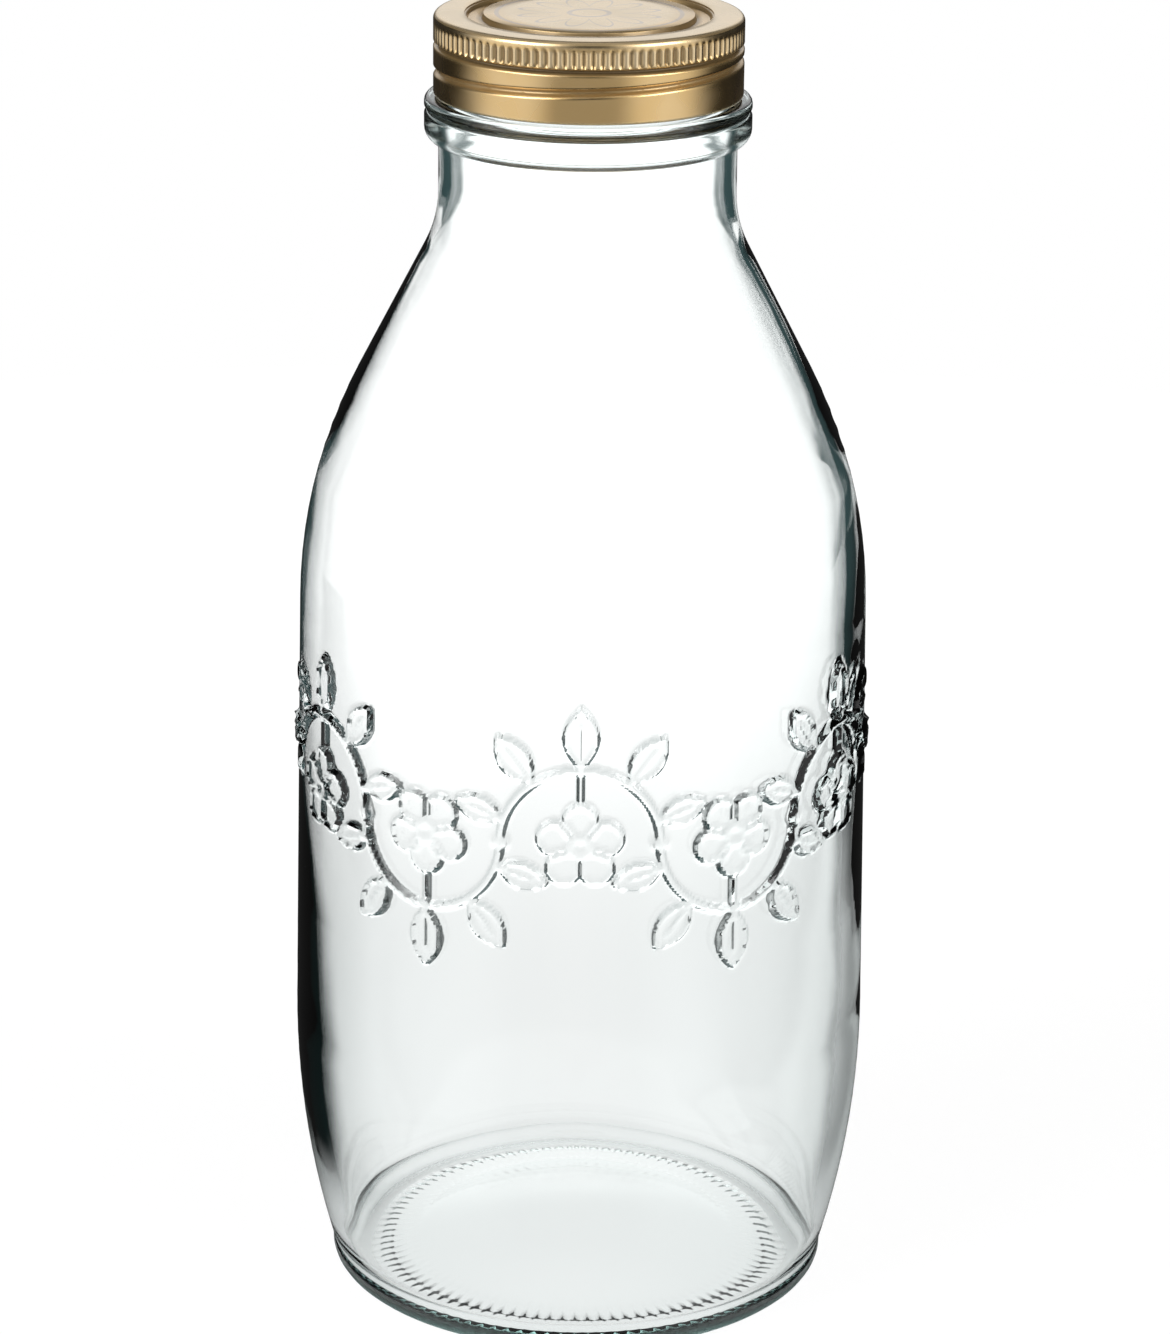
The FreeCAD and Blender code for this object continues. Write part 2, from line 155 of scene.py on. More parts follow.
class NodeBook:
    """Adds nodes to one material's or world's tree."""

    def __init__(self, tree: bpy.types.NodeTree) -> None:
        """Empty the tree and keep it.

        Args:
            tree: The node tree to fill.
        """
        self.tree = tree
        tree.nodes.clear()

    def node(
        self,
        kind: str,
        settings: dict[str, object] | None = None,
        sockets: dict[Union[str, int], object] | None = None,
    ) -> bpy.types.Node:
        """Add one node, with its settings first and then its sockets.

        Args:
            kind: The node's type.
            settings: Its properties by name.
            sockets: Values, or outputs to link, by the input's name or number.

        Returns:
            The node.
        """
        made = self.tree.nodes.new(kind)
        for name, value in (settings or {}).items():
            setattr(made, name, value)
        for name, value in (sockets or {}).items():
            target = made.inputs[name]
            if isinstance(value, Sock):
                self.tree.links.new(value.out, target)
            elif isinstance(value, bpy.types.NodeSocket):
                self.tree.links.new(value, target)
            else:
                target.default_value = value
        return made

    def math(self, operation: str, *terms: Scalar) -> Sock:
        """Add a Math node.

        Args:
            operation: The node's operation.
            terms: Its values or links.

        Returns:
            The result.
        """
        made = self.node("ShaderNodeMath", {"operation": operation}, dict(enumerate(terms)))
        return Sock(self, made.outputs[0])

    def mix(self, share: Scalar, first: object, second: object) -> bpy.types.NodeSocket:
        """Mix two colours.

        Args:
            share: How much of the second colour there is.
            first: A colour or a colour link.
            second: A colour or a colour link.

        Returns:
            The mixed colour.
        """
        made = self.node(
            "ShaderNodeMix",
            {"data_type": "RGBA"},
            {0: share, 6: _opaque(first), 7: _opaque(second)},
        )
        return made.outputs[2]

    def blend(self, share: Sock, first: bpy.types.Node, second: bpy.types.Node) -> bpy.types.Node:
        """Mix two shaders.

        Args:
            share: How much of the second shader there is.
            first: A shader's node.
            second: A shader's node.

        Returns:
            The mixed shader's node.
        """
        return self.node("ShaderNodeMixShader", None, {0: share, 1: first.outputs[0], 2: second.outputs[0]})

    def split(self, vector: bpy.types.NodeSocket) -> tuple[Sock, Sock, Sock]:
        """Take a vector's three parts.

        Args:
            vector: The link to split.

        Returns:
            Its X, Y and Z.
        """
        made = self.node("ShaderNodeSeparateXYZ", None, {0: vector})
        return tuple(Sock(self, out) for out in made.outputs)

    def place(self) -> bpy.types.NodeSocket:
        """Object coordinates, in metres."""
        return self.node("ShaderNodeTexCoord").outputs["Object"]

    def noise(self, where: bpy.types.NodeSocket, scale: float, detail: float) -> Sock:
        """Soft noise between zero and one.

        Args:
            where: The coordinates to read.
            scale: Cells to a metre.
            detail: Finer layers added.

        Returns:
            The noise's value.
        """
        made = self.node("ShaderNodeTexNoise", None, {"Vector": where, "Scale": scale, "Detail": detail})
        return Sock(self, made.outputs[0])

    def bump(self, height: Sock, strength: float, distance: float) -> bpy.types.NodeSocket:
        """Normal of a surface that a pattern raises.

        Args:
            height: The pattern, from zero to one.
            strength: How much of it shows.
            distance: Its full height, in metres.

        Returns:
            The normal.
        """
        sockets = {"Strength": strength, "Distance": distance, "Height": height}
        return self.node("ShaderNodeBump", None, sockets).outputs[0]

    def painted(self, name: str) -> Sock:
        """Read one of the piece's own number attributes.

        Args:
            name: The attribute's name.

        Returns:
            Its value.
        """
        return Sock(self, self.node("ShaderNodeAttribute", {"attribute_name": name}).outputs["Fac"])


def _opaque(colour: object) -> object:
    """Give a plain colour its fourth number, and leave a link as it is."""
    return (*colour, 1.0) if isinstance(colour, tuple) else colour


def fresh_material(name: str) -> tuple[bpy.types.Material, NodeBook]:
    """Make an empty node material.

    Args:
        name: The finish's name.

    Returns:
        The material and the book of its tree.
    """
    made = bpy.data.materials.new(name)
    made.use_nodes = True
    return made, NodeBook(made.node_tree)


@dataclass(frozen=True)
class ClearGlass:
    """Colourless bottle glass with a faint green cast, soft ripples from its mould and painted shade on the
    steep sides of its relief.
    """

    ior: float = 1.5
    tint: Colour = (0.995, 1.0, 0.998)
    # Painted shade: grey-teal tint laid on the relief's steep sides through the flank_shade attribute.
    flank_shade: Colour = (0.42, 0.48, 0.48)
    flank_shade_share: float = 0.55
    cast: Colour = (0.62, 0.86, 0.83)
    cast_density: float = 24.0
    ripple_cells: float = 55.0
    ripple_detail: float = 1.0
    ripple_share: float = 1.0
    ripple_depth: float = 0.00005
    scuff: float = 0.4

    def material(self) -> bpy.types.Material:
        """Build the finish.

        Returns:
            The material.
        """
        made, book = fresh_material("clear_glass")
        ripple = book.noise(book.place(), self.ripple_cells, self.ripple_detail)
        glass = book.node(
            "ShaderNodeBsdfPrincipled",
            None,
            {
                # Painted shade darkens the relief's steep sides.
                "Base Color": book.mix(book.painted("flank_shade") * self.flank_shade_share, self.tint, self.flank_shade),
                "Roughness": book.painted("scuffed") * self.scuff,
                "IOR": self.ior,
                "Transmission Weight": 1.0,
                "Normal": book.bump(ripple, self.ripple_share, self.ripple_depth),
            },
        )
        sockets = {"Color": _opaque(self.cast), "Density": self.cast_density}
        depth = book.node("ShaderNodeVolumeAbsorption", None, sockets)
        book.node("ShaderNodeOutputMaterial", None, {"Surface": glass.outputs[0], "Volume": depth.outputs[0]})
        return made


class Print(Enum):
    """What is printed on a tinplate piece."""

    BARE = "bare"
    ROSETTE = "rosette"


@dataclass(frozen=True)
class GoldLacquer:
    """Gold lacquer on tinplate, worn on its high edges, with painted reflection on its flat tops and painted
    shade in its hollows.
    """

    lacquer: Colour = (0.73, 0.50, 0.22)
    pale: Colour = (0.86, 0.70, 0.46)
    # Painted shade colour for grooves, flutes and other hollows.
    deep_shade: Colour = (0.08, 0.052, 0.022)
    ink: Colour = (0.42, 0.38, 0.40)
    mottle_cells: float = 150.0
    mottle_detail: float = 1.0
    pale_from: Point = (0.35, 0.75)
    pale_share: float = 0.2
    deep_shade_share: float = 0.8
    # Strength of the wear on edges and of the painted reflection on flat tops.
    wear_sheen_from: Point = (0.2, 0.7)
    wear_sheen_share: float = 0.55
    wear_sheen_more: float = 0.3
    ink_share: float = 0.55
    roughness: float = 0.24
    dull_from: Point = (0.3, 0.8)
    dull_more: float = 0.08
    deep_dull: float = 0.12
    deep_loss: float = 0.6
    coat: float = 0.35
    coat_roughness: float = 0.08
    grain_cells: float = 2600.0
    grain_detail: float = 2.0
    grain_share: float = 0.6
    grain_depth: float = 0.000004
    petals: int = 12
    petal_foot: float = 0.34
    petal_len: float = 0.38
    ring_place: float = 0.93
    eye_place: float = 0.2
    stroke: Point = (0.035, 0.015)
    ring_stroke: Point = (0.03, 0.015)

    def material(self, name: str, print_kind: Print, print_r: float = 0.0) -> bpy.types.Material:
        """Build the finish for one piece.

        Args:
            name: The material's name.
            print_kind: What is printed on the piece.
            print_r: Outer radius of the print, in metres.

        Returns:
            The material.
        """
        made, book = fresh_material(name)
        where = book.place()
        mottle = book.noise(where, self.mottle_cells, self.mottle_detail)
        grain = book.noise(where, self.grain_cells, self.grain_detail)
        deep_shade = book.painted("deep_shade")
        colour = book.mix(mottle.step(*self.pale_from) * self.pale_share, self.lacquer, self.pale)
        # Painted shade: darkens the band's flutes, groove, bead and inside, and the disc's panel slope and
        # channel corner.
        colour = book.mix(deep_shade * self.deep_shade_share, colour, self.deep_shade)
        # Paler where the edges are worn, and painted reflection over the flange's top and the disc's panel.
        wear_sheen_strength = self.wear_sheen_share + mottle.step(*self.wear_sheen_from) * self.wear_sheen_more
        colour = book.mix(book.painted("wear_and_sheen") * wear_sheen_strength, colour, self.pale)
        if print_kind is Print.ROSETTE:
            colour = book.mix(self._rosette(book, where, print_r) * self.ink_share, colour, self.ink)
        dull = mottle.step(*self.dull_from) * self.dull_more + deep_shade * self.deep_dull
        metal = book.node(
            "ShaderNodeBsdfPrincipled",
            None,
            {
                "Base Color": colour,
                "Roughness": self.roughness + dull,
                "Metallic": 1.0 - deep_shade * self.deep_loss,
                "Coat Weight": self.coat,
                "Coat Roughness": self.coat_roughness,
                "Normal": book.bump(grain, self.grain_share, self.grain_depth),
            },
        )
        book.node("ShaderNodeOutputMaterial", None, {"Surface": metal.outputs[0]})
        return made

    def _rosette(self, book: NodeBook, where: bpy.types.NodeSocket, outer_r: float) -> Sock:
        """Plain printed rosette: a ring, a ring of petals and a small ring at the middle.

        Args:
            book: The book of the material's tree.
            where: Object coordinates.
            outer_r: Radius of the print, in metres, against which its sizes are given.

        Returns:
            One where there is ink.
        """
        x, y, _ = book.split(where)
        radius = (x * x + y * y).root() / outer_r
        petals = abs((y.bearing(x) * (self.petals / 2)).sine())
        edge = self.petal_foot + petals * self.petal_len
        outline = abs(radius - edge).step(*self.stroke)
        ring = abs(radius - self.ring_place).step(*self.ring_stroke)
        eye = abs(radius - self.eye_place).step(*self.stroke)
        return outline.most(ring).most(eye)


@dataclass(frozen=True)
class SealCompound:
    """Soft sealing compound under the lid."""

    colour: Colour = (0.62, 0.57, 0.49)
    dirt: Colour = (0.42, 0.36, 0.29)
    cloud_cells: float = 500.0
    cloud_detail: float = 3.0
    dirt_from: Point = (0.4, 0.8)
    fine_cells: float = 3000.0
    fine_detail: float = 2.0
    fine_share: float = 0.5
    fine_depth: float = 0.00003
    roughness: float = 0.55
    roughness_more: float = 0.2

    def material(self) -> bpy.types.Material:
        """Build the finish.

        Returns:
            The material.
        """
        made, book = fresh_material("sealing_compound")
        where = book.place()
        cloud = book.noise(where, self.cloud_cells, self.cloud_detail)
        fine = book.noise(where, self.fine_cells, self.fine_detail)
        body = book.node(
            "ShaderNodeBsdfPrincipled",
            None,
            {
                "Base Color": book.mix(cloud.step(*self.dirt_from), self.colour, self.dirt),
                "Roughness": self.roughness + fine * self.roughness_more,
                "Normal": book.bump(fine, self.fine_share, self.fine_depth),
            },
        )
        book.node("ShaderNodeOutputMaterial", None, {"Surface": body.outputs[0]})
        return made


class Outline:
    """A row of r-z points in millimetres that a lathe turns about Z."""

    def __init__(self, start: Point) -> None:
        """Start the outline.

        Args:
            start: Its first point.
        """
        self.points: list[Point] = [start]

    @property
    def end(self) -> Point:
        """Last point so far."""
        return self.points[-1]

    def line(self, to: Point, steps: int = 1) -> "Outline":
        """Go straight to a point.

        Args:
            to: The point.
            steps: Pieces the line is cut into.

        Returns:
            The outline itself.
        """
        (r0, z0), (r1, z1) = self.end, to
        for i in range(1, steps + 1):
            self.points.append((r0 + (r1 - r0) * i / steps, z0 + (z1 - z0) * i / steps))
        return self

    def arc(self, centre: Point, radius: float, first: float, last: float, steps: int) -> "Outline":
        """Go round a centre.

        Args:
            centre: The arc's centre.
            radius: Its radius.
            first: Angle of its start, in radians.
            last: Angle of its end.
            steps: Pieces the arc is cut into.

        Returns:
            The outline itself.
        """
        for i in range(steps + 1):
            point = polar(centre, radius, first + (last - first) * i / steps)
            if math.dist(point, self.end) > SAME_POINT:
                self.points.append(point)
        return self

    def level_arc(self, level: Point, end: Point, steps: int) -> "Outline":
        """Go along the arc that is level at one point and ends at another, whichever of them comes first.

        Args:
            level: Point at which the arc is level.
            end: The arc's other end.
            steps: Pieces the arc is cut into.

        Returns:
            The outline itself.
        """
        run, climb = end[0] - level[0], abs(end[1] - level[1])
        way = math.copysign(1.0, end[1] - level[1])
        radius = (run**2 + climb**2) / (2 * climb)
        turn = math.atan2(run, radius - climb)
        row = []
        for i in range(steps + 1):
            part = turn * i / steps
            row.append((level[0] + radius * math.sin(part), level[1] + way * radius * (1 - math.cos(part))))
        if math.dist(row[0], self.end) > math.dist(row[-1], self.end):
            row.reverse()
        self.points += [p for p in row if math.dist(p, self.end) > SAME_POINT]
        return self

    def ease(self, to: Point, shares: Sequence[float]) -> "Outline":
        """Go to a point by a rounded step that is level at both ends.

        Args:
            to: The point.
            shares: Shares of the way out at which the step has points, of which the last is one.

        Returns:
            The outline itself.
        """
        (r0, z0), (r1, z1) = self.end, to
        for share in shares:
            self.line((r0 + (r1 - r0) * share, z0 + (z1 - z0) * (0.5 - 0.5 * math.cos(math.pi * share))))
        return self


def polar(centre: Point, radius: float, angle: float) -> Point:
    """Point of a circle in the r-z plane."""
    return (centre[0] + radius * math.cos(angle), centre[1] + radius * math.sin(angle))


def along(point: Point, angle: float, length: float) -> Point:
    """Point up a wall that leans inwards by an angle."""
    return (point[0] - length * math.sin(angle), point[1] + length * math.cos(angle))


def turn_outline(name: str, points: Sequence[Point], steps: int) -> bpy.types.Object:
    """Draw an outline by extruding a corner from point to point, and turn it about Z.

    Args:
        name: The new object's name.
        points: The outline in millimetres, closed if its last point is its first.
        steps: Segments round the axis.

    Returns:
        The turned mesh, at the origin.
    """
    bpy.ops.object.select_all(action="DESELECT")
    bpy.ops.mesh.primitive_plane_add(size=MM)
    piece = bpy.context.active_object
    piece.name = piece.data.name = name
    bpy.ops.object.mode_set(mode="EDIT")
    bpy.ops.mesh.select_mode(type="VERT")
    bpy.ops.mesh.select_all(action="SELECT")
    bpy.ops.mesh.merge(type="CENTER")
    bpy.ops.transform.translate(value=(points[0][0] * MM, 0, points[0][1] * MM))
    for (r0, z0), (r1, z1) in zip(points, points[1:]):
        move = ((r1 - r0) * MM, 0, (z1 - z0) * MM)
        bpy.ops.mesh.extrude_region_move(TRANSFORM_OT_translate={"value": move})
    bpy.ops.object.mode_set(mode="OBJECT")
    lathe = piece.modifiers.new("lathe", "SCREW")
    lathe.axis = "Z"
    lathe.angle = TURN
    lathe.steps = lathe.render_steps = steps
    lathe.use_merge_vertices = True
    lathe.merge_threshold = MERGE_DISTANCE
    bpy.ops.object.modifier_apply(modifier=lathe.name)
    bpy.ops.object.mode_set(mode="EDIT")
    bpy.ops.mesh.select_all(action="SELECT")
    bpy.ops.mesh.remove_doubles(threshold=MERGE_DISTANCE)
    bpy.ops.mesh.normals_make_consistent(inside=False)
    bpy.ops.object.mode_set(mode="OBJECT")
    return piece


def corners(piece: bpy.types.Object) -> tuple[np.ndarray, np.ndarray, np.ndarray]:
    """Read a mesh's corners as lathe coordinates.

    Args:
        piece: The mesh object.

    Returns:
        Radius in millimetres, angle in radians and height in millimetres.
    """
    flat = np.empty(len(piece.data.vertices) * 3)
    piece.data.vertices.foreach_get("co", flat)
    x, y, z = flat.reshape(-1, 3).T / MM
    return np.hypot(x, y), np.arctan2(y, x), z


def move_corners(piece: bpy.types.Object, r: np.ndarray, angle: np.ndarray, z: np.ndarray) -> None:
    """Write lathe coordinates back to a mesh.

    Args:
        piece: The mesh object.
        r: Radii in millimetres.
        angle: Angles in radians.
        z: Heights in millimetres.
    """
    flat = np.stack([r * np.cos(angle), r * np.sin(angle), z], axis=1) * MM
    piece.data.vertices.foreach_set("co", flat.ravel())
    piece.data.update()


def paint(piece: bpy.types.Object, name: str, values: np.ndarray) -> None:
    """Store one number per corner on a mesh.

    Args:
        piece: The mesh object.
        name: The attribute's name.
        values: The numbers.
    """
    layer = piece.data.attributes.new(name, "FLOAT", "POINT")
    layer.data.foreach_set("value", np.clip(values, 0, 1).astype(np.float32))


def smooth(piece: bpy.types.Object, degrees: float) -> None:
    """Shade a piece smooth, with edges sharper than an angle kept crisp.

    Args:
        piece: The mesh object.
        degrees: The angle.
    """
    bpy.ops.object.select_all(action="DESELECT")
    piece.select_set(True)
    bpy.context.view_layer.objects.active = piece
    bpy.ops.object.shade_smooth_by_angle(angle=math.radians(degrees))


def rise(value: np.ndarray, low: float, high: float) -> np.ndarray:
    """Smooth rise from zero to one between two values."""
    t = np.clip((value - low) / (high - low), 0, 1)
    return t * t * (3 - 2 * t)


def ridge(distance: np.ndarray, half: float) -> np.ndarray:
    """Rounded ridge of height one over a distance from its middle line."""
    return np.clip(1 - (distance / half) ** 2, 0, 1) ** RIDGE_POWER


def swell(value: np.ndarray, middle: float, width: float) -> np.ndarray:
    """Soft swell of height one about a middle value."""
    return np.exp(-(((value - middle) / width) ** 2))


def winding(
    angle: np.ndarray, start: Point, tall: float, pitch: float, ramp: float
) -> Iterator[tuple[np.ndarray, np.ndarray]]:
    """Follow a thread round its axis, lap by lap.

    Args:
        angle: Angles round the axis.
        start: Angle and height of the thread's lower end.
        tall: How far it climbs.
        pitch: Its climb in one turn.
        ramp: Angle over which it grows from nothing at either end.

    Yields:
        Height of its middle line at those angles, and how full it is there, for each lap.
    """
    wound = tall / pitch * TURN
    for lap in range(math.ceil(tall / pitch)):
        turn = (angle - start[0]) % TURN + lap * TURN
        middle = start[1] + np.clip(turn, 0, wound) / TURN * pitch
        yield middle, rise(turn, 0, ramp) * rise(wound - turn, 0, ramp)


def cover(piece: bpy.types.Object, material: bpy.types.Material) -> None:
    """Make a material the only one on a piece."""
    piece.data.materials.clear()
    piece.data.materials.append(material)


@dataclass
class VineRelief:
    """Raised vine across the front, in millimetres.

    Half rings of stem bow up and down by turns, with buds between them, leaves outside and a blossom in each.
    """

    wall_r: float
    middle_z: float
    bows: int = 5
    bow_r: float = 13.0
    height: float = 0.85
    stroke: float = 0.95
    stem_under: float = 0.2
    stalk_share: float = 0.85
    stalk_sunk: float = 0.6
    bud_r: float = 1.9
    pad: float = 0.5
    pad_edge: float = 0.55
    pad_soft: float = 0.1
    pad_rim_share: float = 1.2
    leaf_len: float = 11.0
    leaf_half: float = 3.1
    leaf_places: tuple[Point, ...] = ((90, 1.0), (53, 0.92), (127, 0.92), (18, 0.8), (162, 0.8))
    rib_share: float = 0.7
    rib_height: float = 0.95
    rib_grow: float = 0.1
    rib_end: float = 0.9
    rib_fade: float = 0.25
    blossom_r: float = 7.6
    petals: int = 5
    notch_share: float = 0.72
    core_share: float = 0.92
    fold_half: float = 0.12
    eye_r: float = 2.6
    eye_edge: Point = (-0.1, 0.7)
    eye_dip: float = 0.3
    eye_dip_share: float = 0.55
    near_share: float = 2.2
    probe: float = 0.2
    steep: Point = (0.45, 1.3)

    def low(self) -> float:
        """Height of the relief's lower edge."""
        return self.middle_z - self.bow_r - self.leaf_len - self.stroke

    def high(self) -> float:
        """Height of the relief's upper edge."""
        return self.middle_z + self.bow_r + self.leaf_len + self.stroke

    def raised(self, angle: np.ndarray, z: np.ndarray) -> np.ndarray:
        """Height of the relief over the plain wall.

        Args:
            angle: Angles round the bottle.
            z: Heights.

        Returns:
            Heights of the relief, in millimetres.
        """
        out = np.zeros_like(z)
        step = 2 * math.asin(self.bow_r / self.wall_r)
        for i in range(self.bows):
            way = 1 if i % 2 == 0 else -1
            near, s = self._across(angle, step * (i - (self.bows - 1) / 2))
            out[near] = np.maximum(out[near], self._bow(s, (z[near] - self.middle_z) * way))
        for i in range(self.bows + 1):
            near, s = self._across(angle, step * (i - self.bows / 2))
            bud = ridge(np.hypot(s, z[near] - self.middle_z), self.bud_r)
            out[near] = np.maximum(out[near], bud * self.height)
        return out

    def flank_shade_mask(self, angle: np.ndarray, z: np.ndarray) -> np.ndarray:
        """Where the relief's sides are steep, which the glass darkens with painted shade.

        Args:
            angle: Angles round the bottle.
            z: Heights.

        Returns:
            Zero on level glass and one on the steepest sides.
        """
        turn = self.probe / self.wall_r
        across = self.raised(angle + turn, z) - self.raised(angle - turn, z)
        upward = self.raised(angle, z + self.probe) - self.raised(angle, z - self.probe)
        return rise(np.hypot(across, upward) / (2 * self.probe), *self.steep)

    def _across(self, angle: np.ndarray, place: float) -> tuple[np.ndarray, np.ndarray]:
        """Distances along a flat sheet that touches the wall at one place of the vine.

        Args:
            angle: Angles round the bottle.
            place: Angle of the place, from the middle of the front.

        Returns:
            Which corners are near the place, and their distances from it.
        """
        turn = (angle - FRONT - place + math.pi) % TURN - math.pi
        near = np.abs(turn) < self.near_share * self.bow_r / self.wall_r
        return near, self.wall_r * np.sin(turn[near])

    def _bow(self, s: np.ndarray, up: np.ndarray) -> np.ndarray:
        """One bow of the vine, with the bow upwards: stem, stalk, blossom and leaves.

        Args:
            s: Distances across from the bow's middle.
            up: Heights over the vine's middle line.

        Returns:
            Their relief, in millimetres.
        """
        stem = ridge(np.abs(np.hypot(s, up) - self.bow_r), self.stroke) * (up > -self.stem_under)
        between = (up > self.blossom_r - self.stalk_sunk) * (up < self.bow_r)
        stalk = ridge(np.abs(s), self.stroke * self.stalk_share) * between
        out = np.maximum(np.maximum(stem, stalk) * self.height, self._blossom(s, up))
        for degrees, size in self.leaf_places:
            out = np.maximum(out, self._leaf(s, up, math.radians(degrees), size))
        return out

    def _cushion(self, within: np.ndarray) -> np.ndarray:
        """Flat pad with a rounded edge and a raised rim.

        Args:
            within: Distances inwards from the pad's outline.

        Returns:
            The pad's relief, in millimetres.
        """
        rim = ridge(np.abs(within - self.pad_edge), self.pad_edge * self.pad_rim_share)
        return self.pad * rise(within, -self.pad_soft, self.pad_edge) + rim * (self.height - self.pad)

    def _leaf(self, s: np.ndarray, up: np.ndarray, angle: float, size: float) -> np.ndarray:
        """One pointed leaf with a raised rim and midrib.

        Args:
            s: Distances across from the bow's middle.
            up: Heights over the vine's middle line.
            angle: Place of the leaf's foot on the bow, and the way that it points.
            size: Its size against the full leaf.

        Returns:
            Its relief, in millimetres.
        """
        far = (s * math.cos(angle) + up * math.sin(angle) - self.bow_r) / (self.leaf_len * size)
        off = np.abs(up * math.cos(angle) - s * math.sin(angle))
        inside = np.where((far > 0) & (far < 1), far * (1 - far), -1.0)
        body = self._cushion(4 * self.leaf_half * size * inside - off)
        ends = rise(far, 0.0, self.rib_grow) * rise(self.rib_end - far, 0.0, self.rib_fade)
        rib = ridge(off, self.stroke * self.rib_share) * ends
        return np.maximum(body, rib * self.height * self.rib_height)

    def _blossom(self, s: np.ndarray, up: np.ndarray) -> np.ndarray:
        """One open blossom with round petals and a raised eye.

        Args:
            s: Distances across from the blossom's middle.
            up: Heights over its middle.

        Returns:
            Its relief, in millimetres.
        """
        half = math.pi / self.petals
        notch = self.blossom_r * self.notch_share
        middle = (self.blossom_r**2 - notch**2) / (2 * (self.blossom_r - notch * math.cos(half)))
        far = np.hypot(s, up)
        turn = (np.arctan2(up, s) - math.pi / 2 + half) % (2 * half) - half
        outline = self.blossom_r - middle - np.hypot(far * np.cos(turn) - middle, far * np.sin(turn))
        outline = np.maximum(outline, notch * self.core_share - far)
        fold = far * np.sin(half - np.abs(turn))
        petal = self._cushion(np.minimum(outline, fold + self.fold_half))
        dip = self.eye_dip * ridge(far, self.eye_r * self.eye_dip_share)
        return np.maximum(petal, self.height * rise(self.eye_r - far, *self.eye_edge) - dip)


@dataclass
class GlassBottle:
    """The blown bottle: body, shoulder, neck, collar and threaded mouth, in millimetres."""

    finish: ClearGlass = field(default_factory=ClearGlass)
    body_r: float = 49.4
    heel_rise: float = 46.9
    heel_arc_r: float = 153.0
    taper: float = math.radians(0.95)
    straight_len: float = 72.9
    vine_drop: float = 27.7
    shoulder_arc_r: float = 87.7
    slope: float = math.radians(27.5)
    wall: float = 2.2
    push_up: float = 3.5
    base_t: float = 2.3
    floor_dish: float = 3.6
    floor_corner_r: float = 5.0
    bearing_width: float = 7.3
    bearing_corner: float = 2.4
    bearing_corner_h: float = 3.6
    rib_count: int = 96
    rib_depth: float = 0.35
    rib_len: float = 2.5
    rib_over: float = 0.1
    rib_fade: float = 0.7
    land_fade: float = 0.8
    neck_r: float = 24.7
    neck_len: float = 8.5
    neck_arc_r: float = 20.4
    bore_arc_r: float = 25.0
    bore_drop: float = 0.6
    bore_plain: float = 2.0
    collar_proud: float = 2.35
    collar_foot: float = 0.4
    collar_h: float = 5.0
    collar_groove: float = 0.5
    collar_groove_h: float = 1.5
    collar_groove_shares: tuple[float, ...] = (0.2, 0.5, 0.8, 1.0)
    collar_lip_h: float = 2.95
    collar_lip_r: float = 0.9
    collar_scuff: float = 0.25
    scuff_fade: float = 1.0
    finish_r: float = 23.35
    finish_wall: float = 3.75
    finish_h: float = 12.1
    finish_foot: float = 0.15
    lip_round: float = 0.8
    thread_pitch: float = 5.08
    thread_depth: float = 1.0
    thread_half: float = 1.15
    thread_low_gap: float = 1.175
    thread_rise: float = 5.62
    thread_low_angle: float = math.radians(205.0)
    thread_ramp: float = math.radians(17.0)
    thin_wall: float = 1.1
    thin_lopsided: float = 0.3
    shoulder_more: float = 0.5
    heel_wall: float = 2.8
    heel_lopsided: float = 0.2
    front_share: float = 0.3
    neck_wall: float = 2.0
    heavy_low: float = 45.0
    heavy_high: float = 100.0
    heavy_right: Point = (-10.0, 55.0)
    neck_low: float = 176.0
    neck_high: float = 194.0
    foot_low: float = 6.0
    foot_high: float = 16.0
    rim_drop: float = 0.5
    rim_blend: float = 4.0
    waves: tuple[tuple[float, int, float, float], ...] = (
        (0.06, 2, 0.6, 0.012),
        (0.06, 3, -1.1, -0.031),
        (0.05, 5, 2.3, 0.055),
        (0.04, 4, 0.0, -0.083),
    )
    outer_steps: int = 384
    inner_steps: int = 208
    crowding: float = 0.6
    crowd_low: float = 8.0
    crowd_fade: float = 20.0
    hair: float = 0.1
    crisp: float = 50.0

    def __post_init__(self) -> None:
        """Work out the outline's main points from the sizes."""
        self.heel_centre = (self.body_r - self.heel_arc_r, self.heel_rise)
        self.heel_low_angle = -math.asin((self.heel_rise - self.bearing_corner_h) / self.heel_arc_r)
        self.heel_low = polar(self.heel_centre, self.heel_arc_r, self.heel_low_angle)
        self.bearing_out = (self.heel_low[0] - self.bearing_corner, 0.0)
        self.bearing_in = (self.bearing_out[0] - self.bearing_width, 0.0)
        self.body_low = polar(self.heel_centre, self.heel_arc_r, self.taper)
        self.body_high = along(self.body_low, self.taper, self.straight_len)
        vine_r = self.body_high[0] + self.vine_drop * math.tan(self.taper)
        self.relief = VineRelief(vine_r, self.body_high[1] - self.vine_drop)
        self.shoulder_centre = polar(self.body_high, -self.shoulder_arc_r, self.taper)
        self.cone_low = polar(self.shoulder_centre, self.shoulder_arc_r, self.slope)
        start_r = self.neck_r + self.neck_arc_r * (1 - math.cos(self.slope))
        self.cone_high = along(self.cone_low, self.slope, (self.cone_low[0] - start_r) / math.sin(self.slope))
        lift = self.neck_arc_r * math.sin(self.slope)
        self.neck_centre = (self.neck_r + self.neck_arc_r, self.cone_high[1] + lift)
        self.collar_low = self.neck_centre[1] + self.neck_len
        self.collar_r = self.neck_r + self.collar_proud
        self.collar_top = self.collar_low + self.collar_proud + self.collar_h
        self.glass_top = self.collar_top + self.finish_h
        self.mouth_r = self.finish_r - self.finish_wall
        self.thread_low_z = self.collar_top + self.thread_low_gap

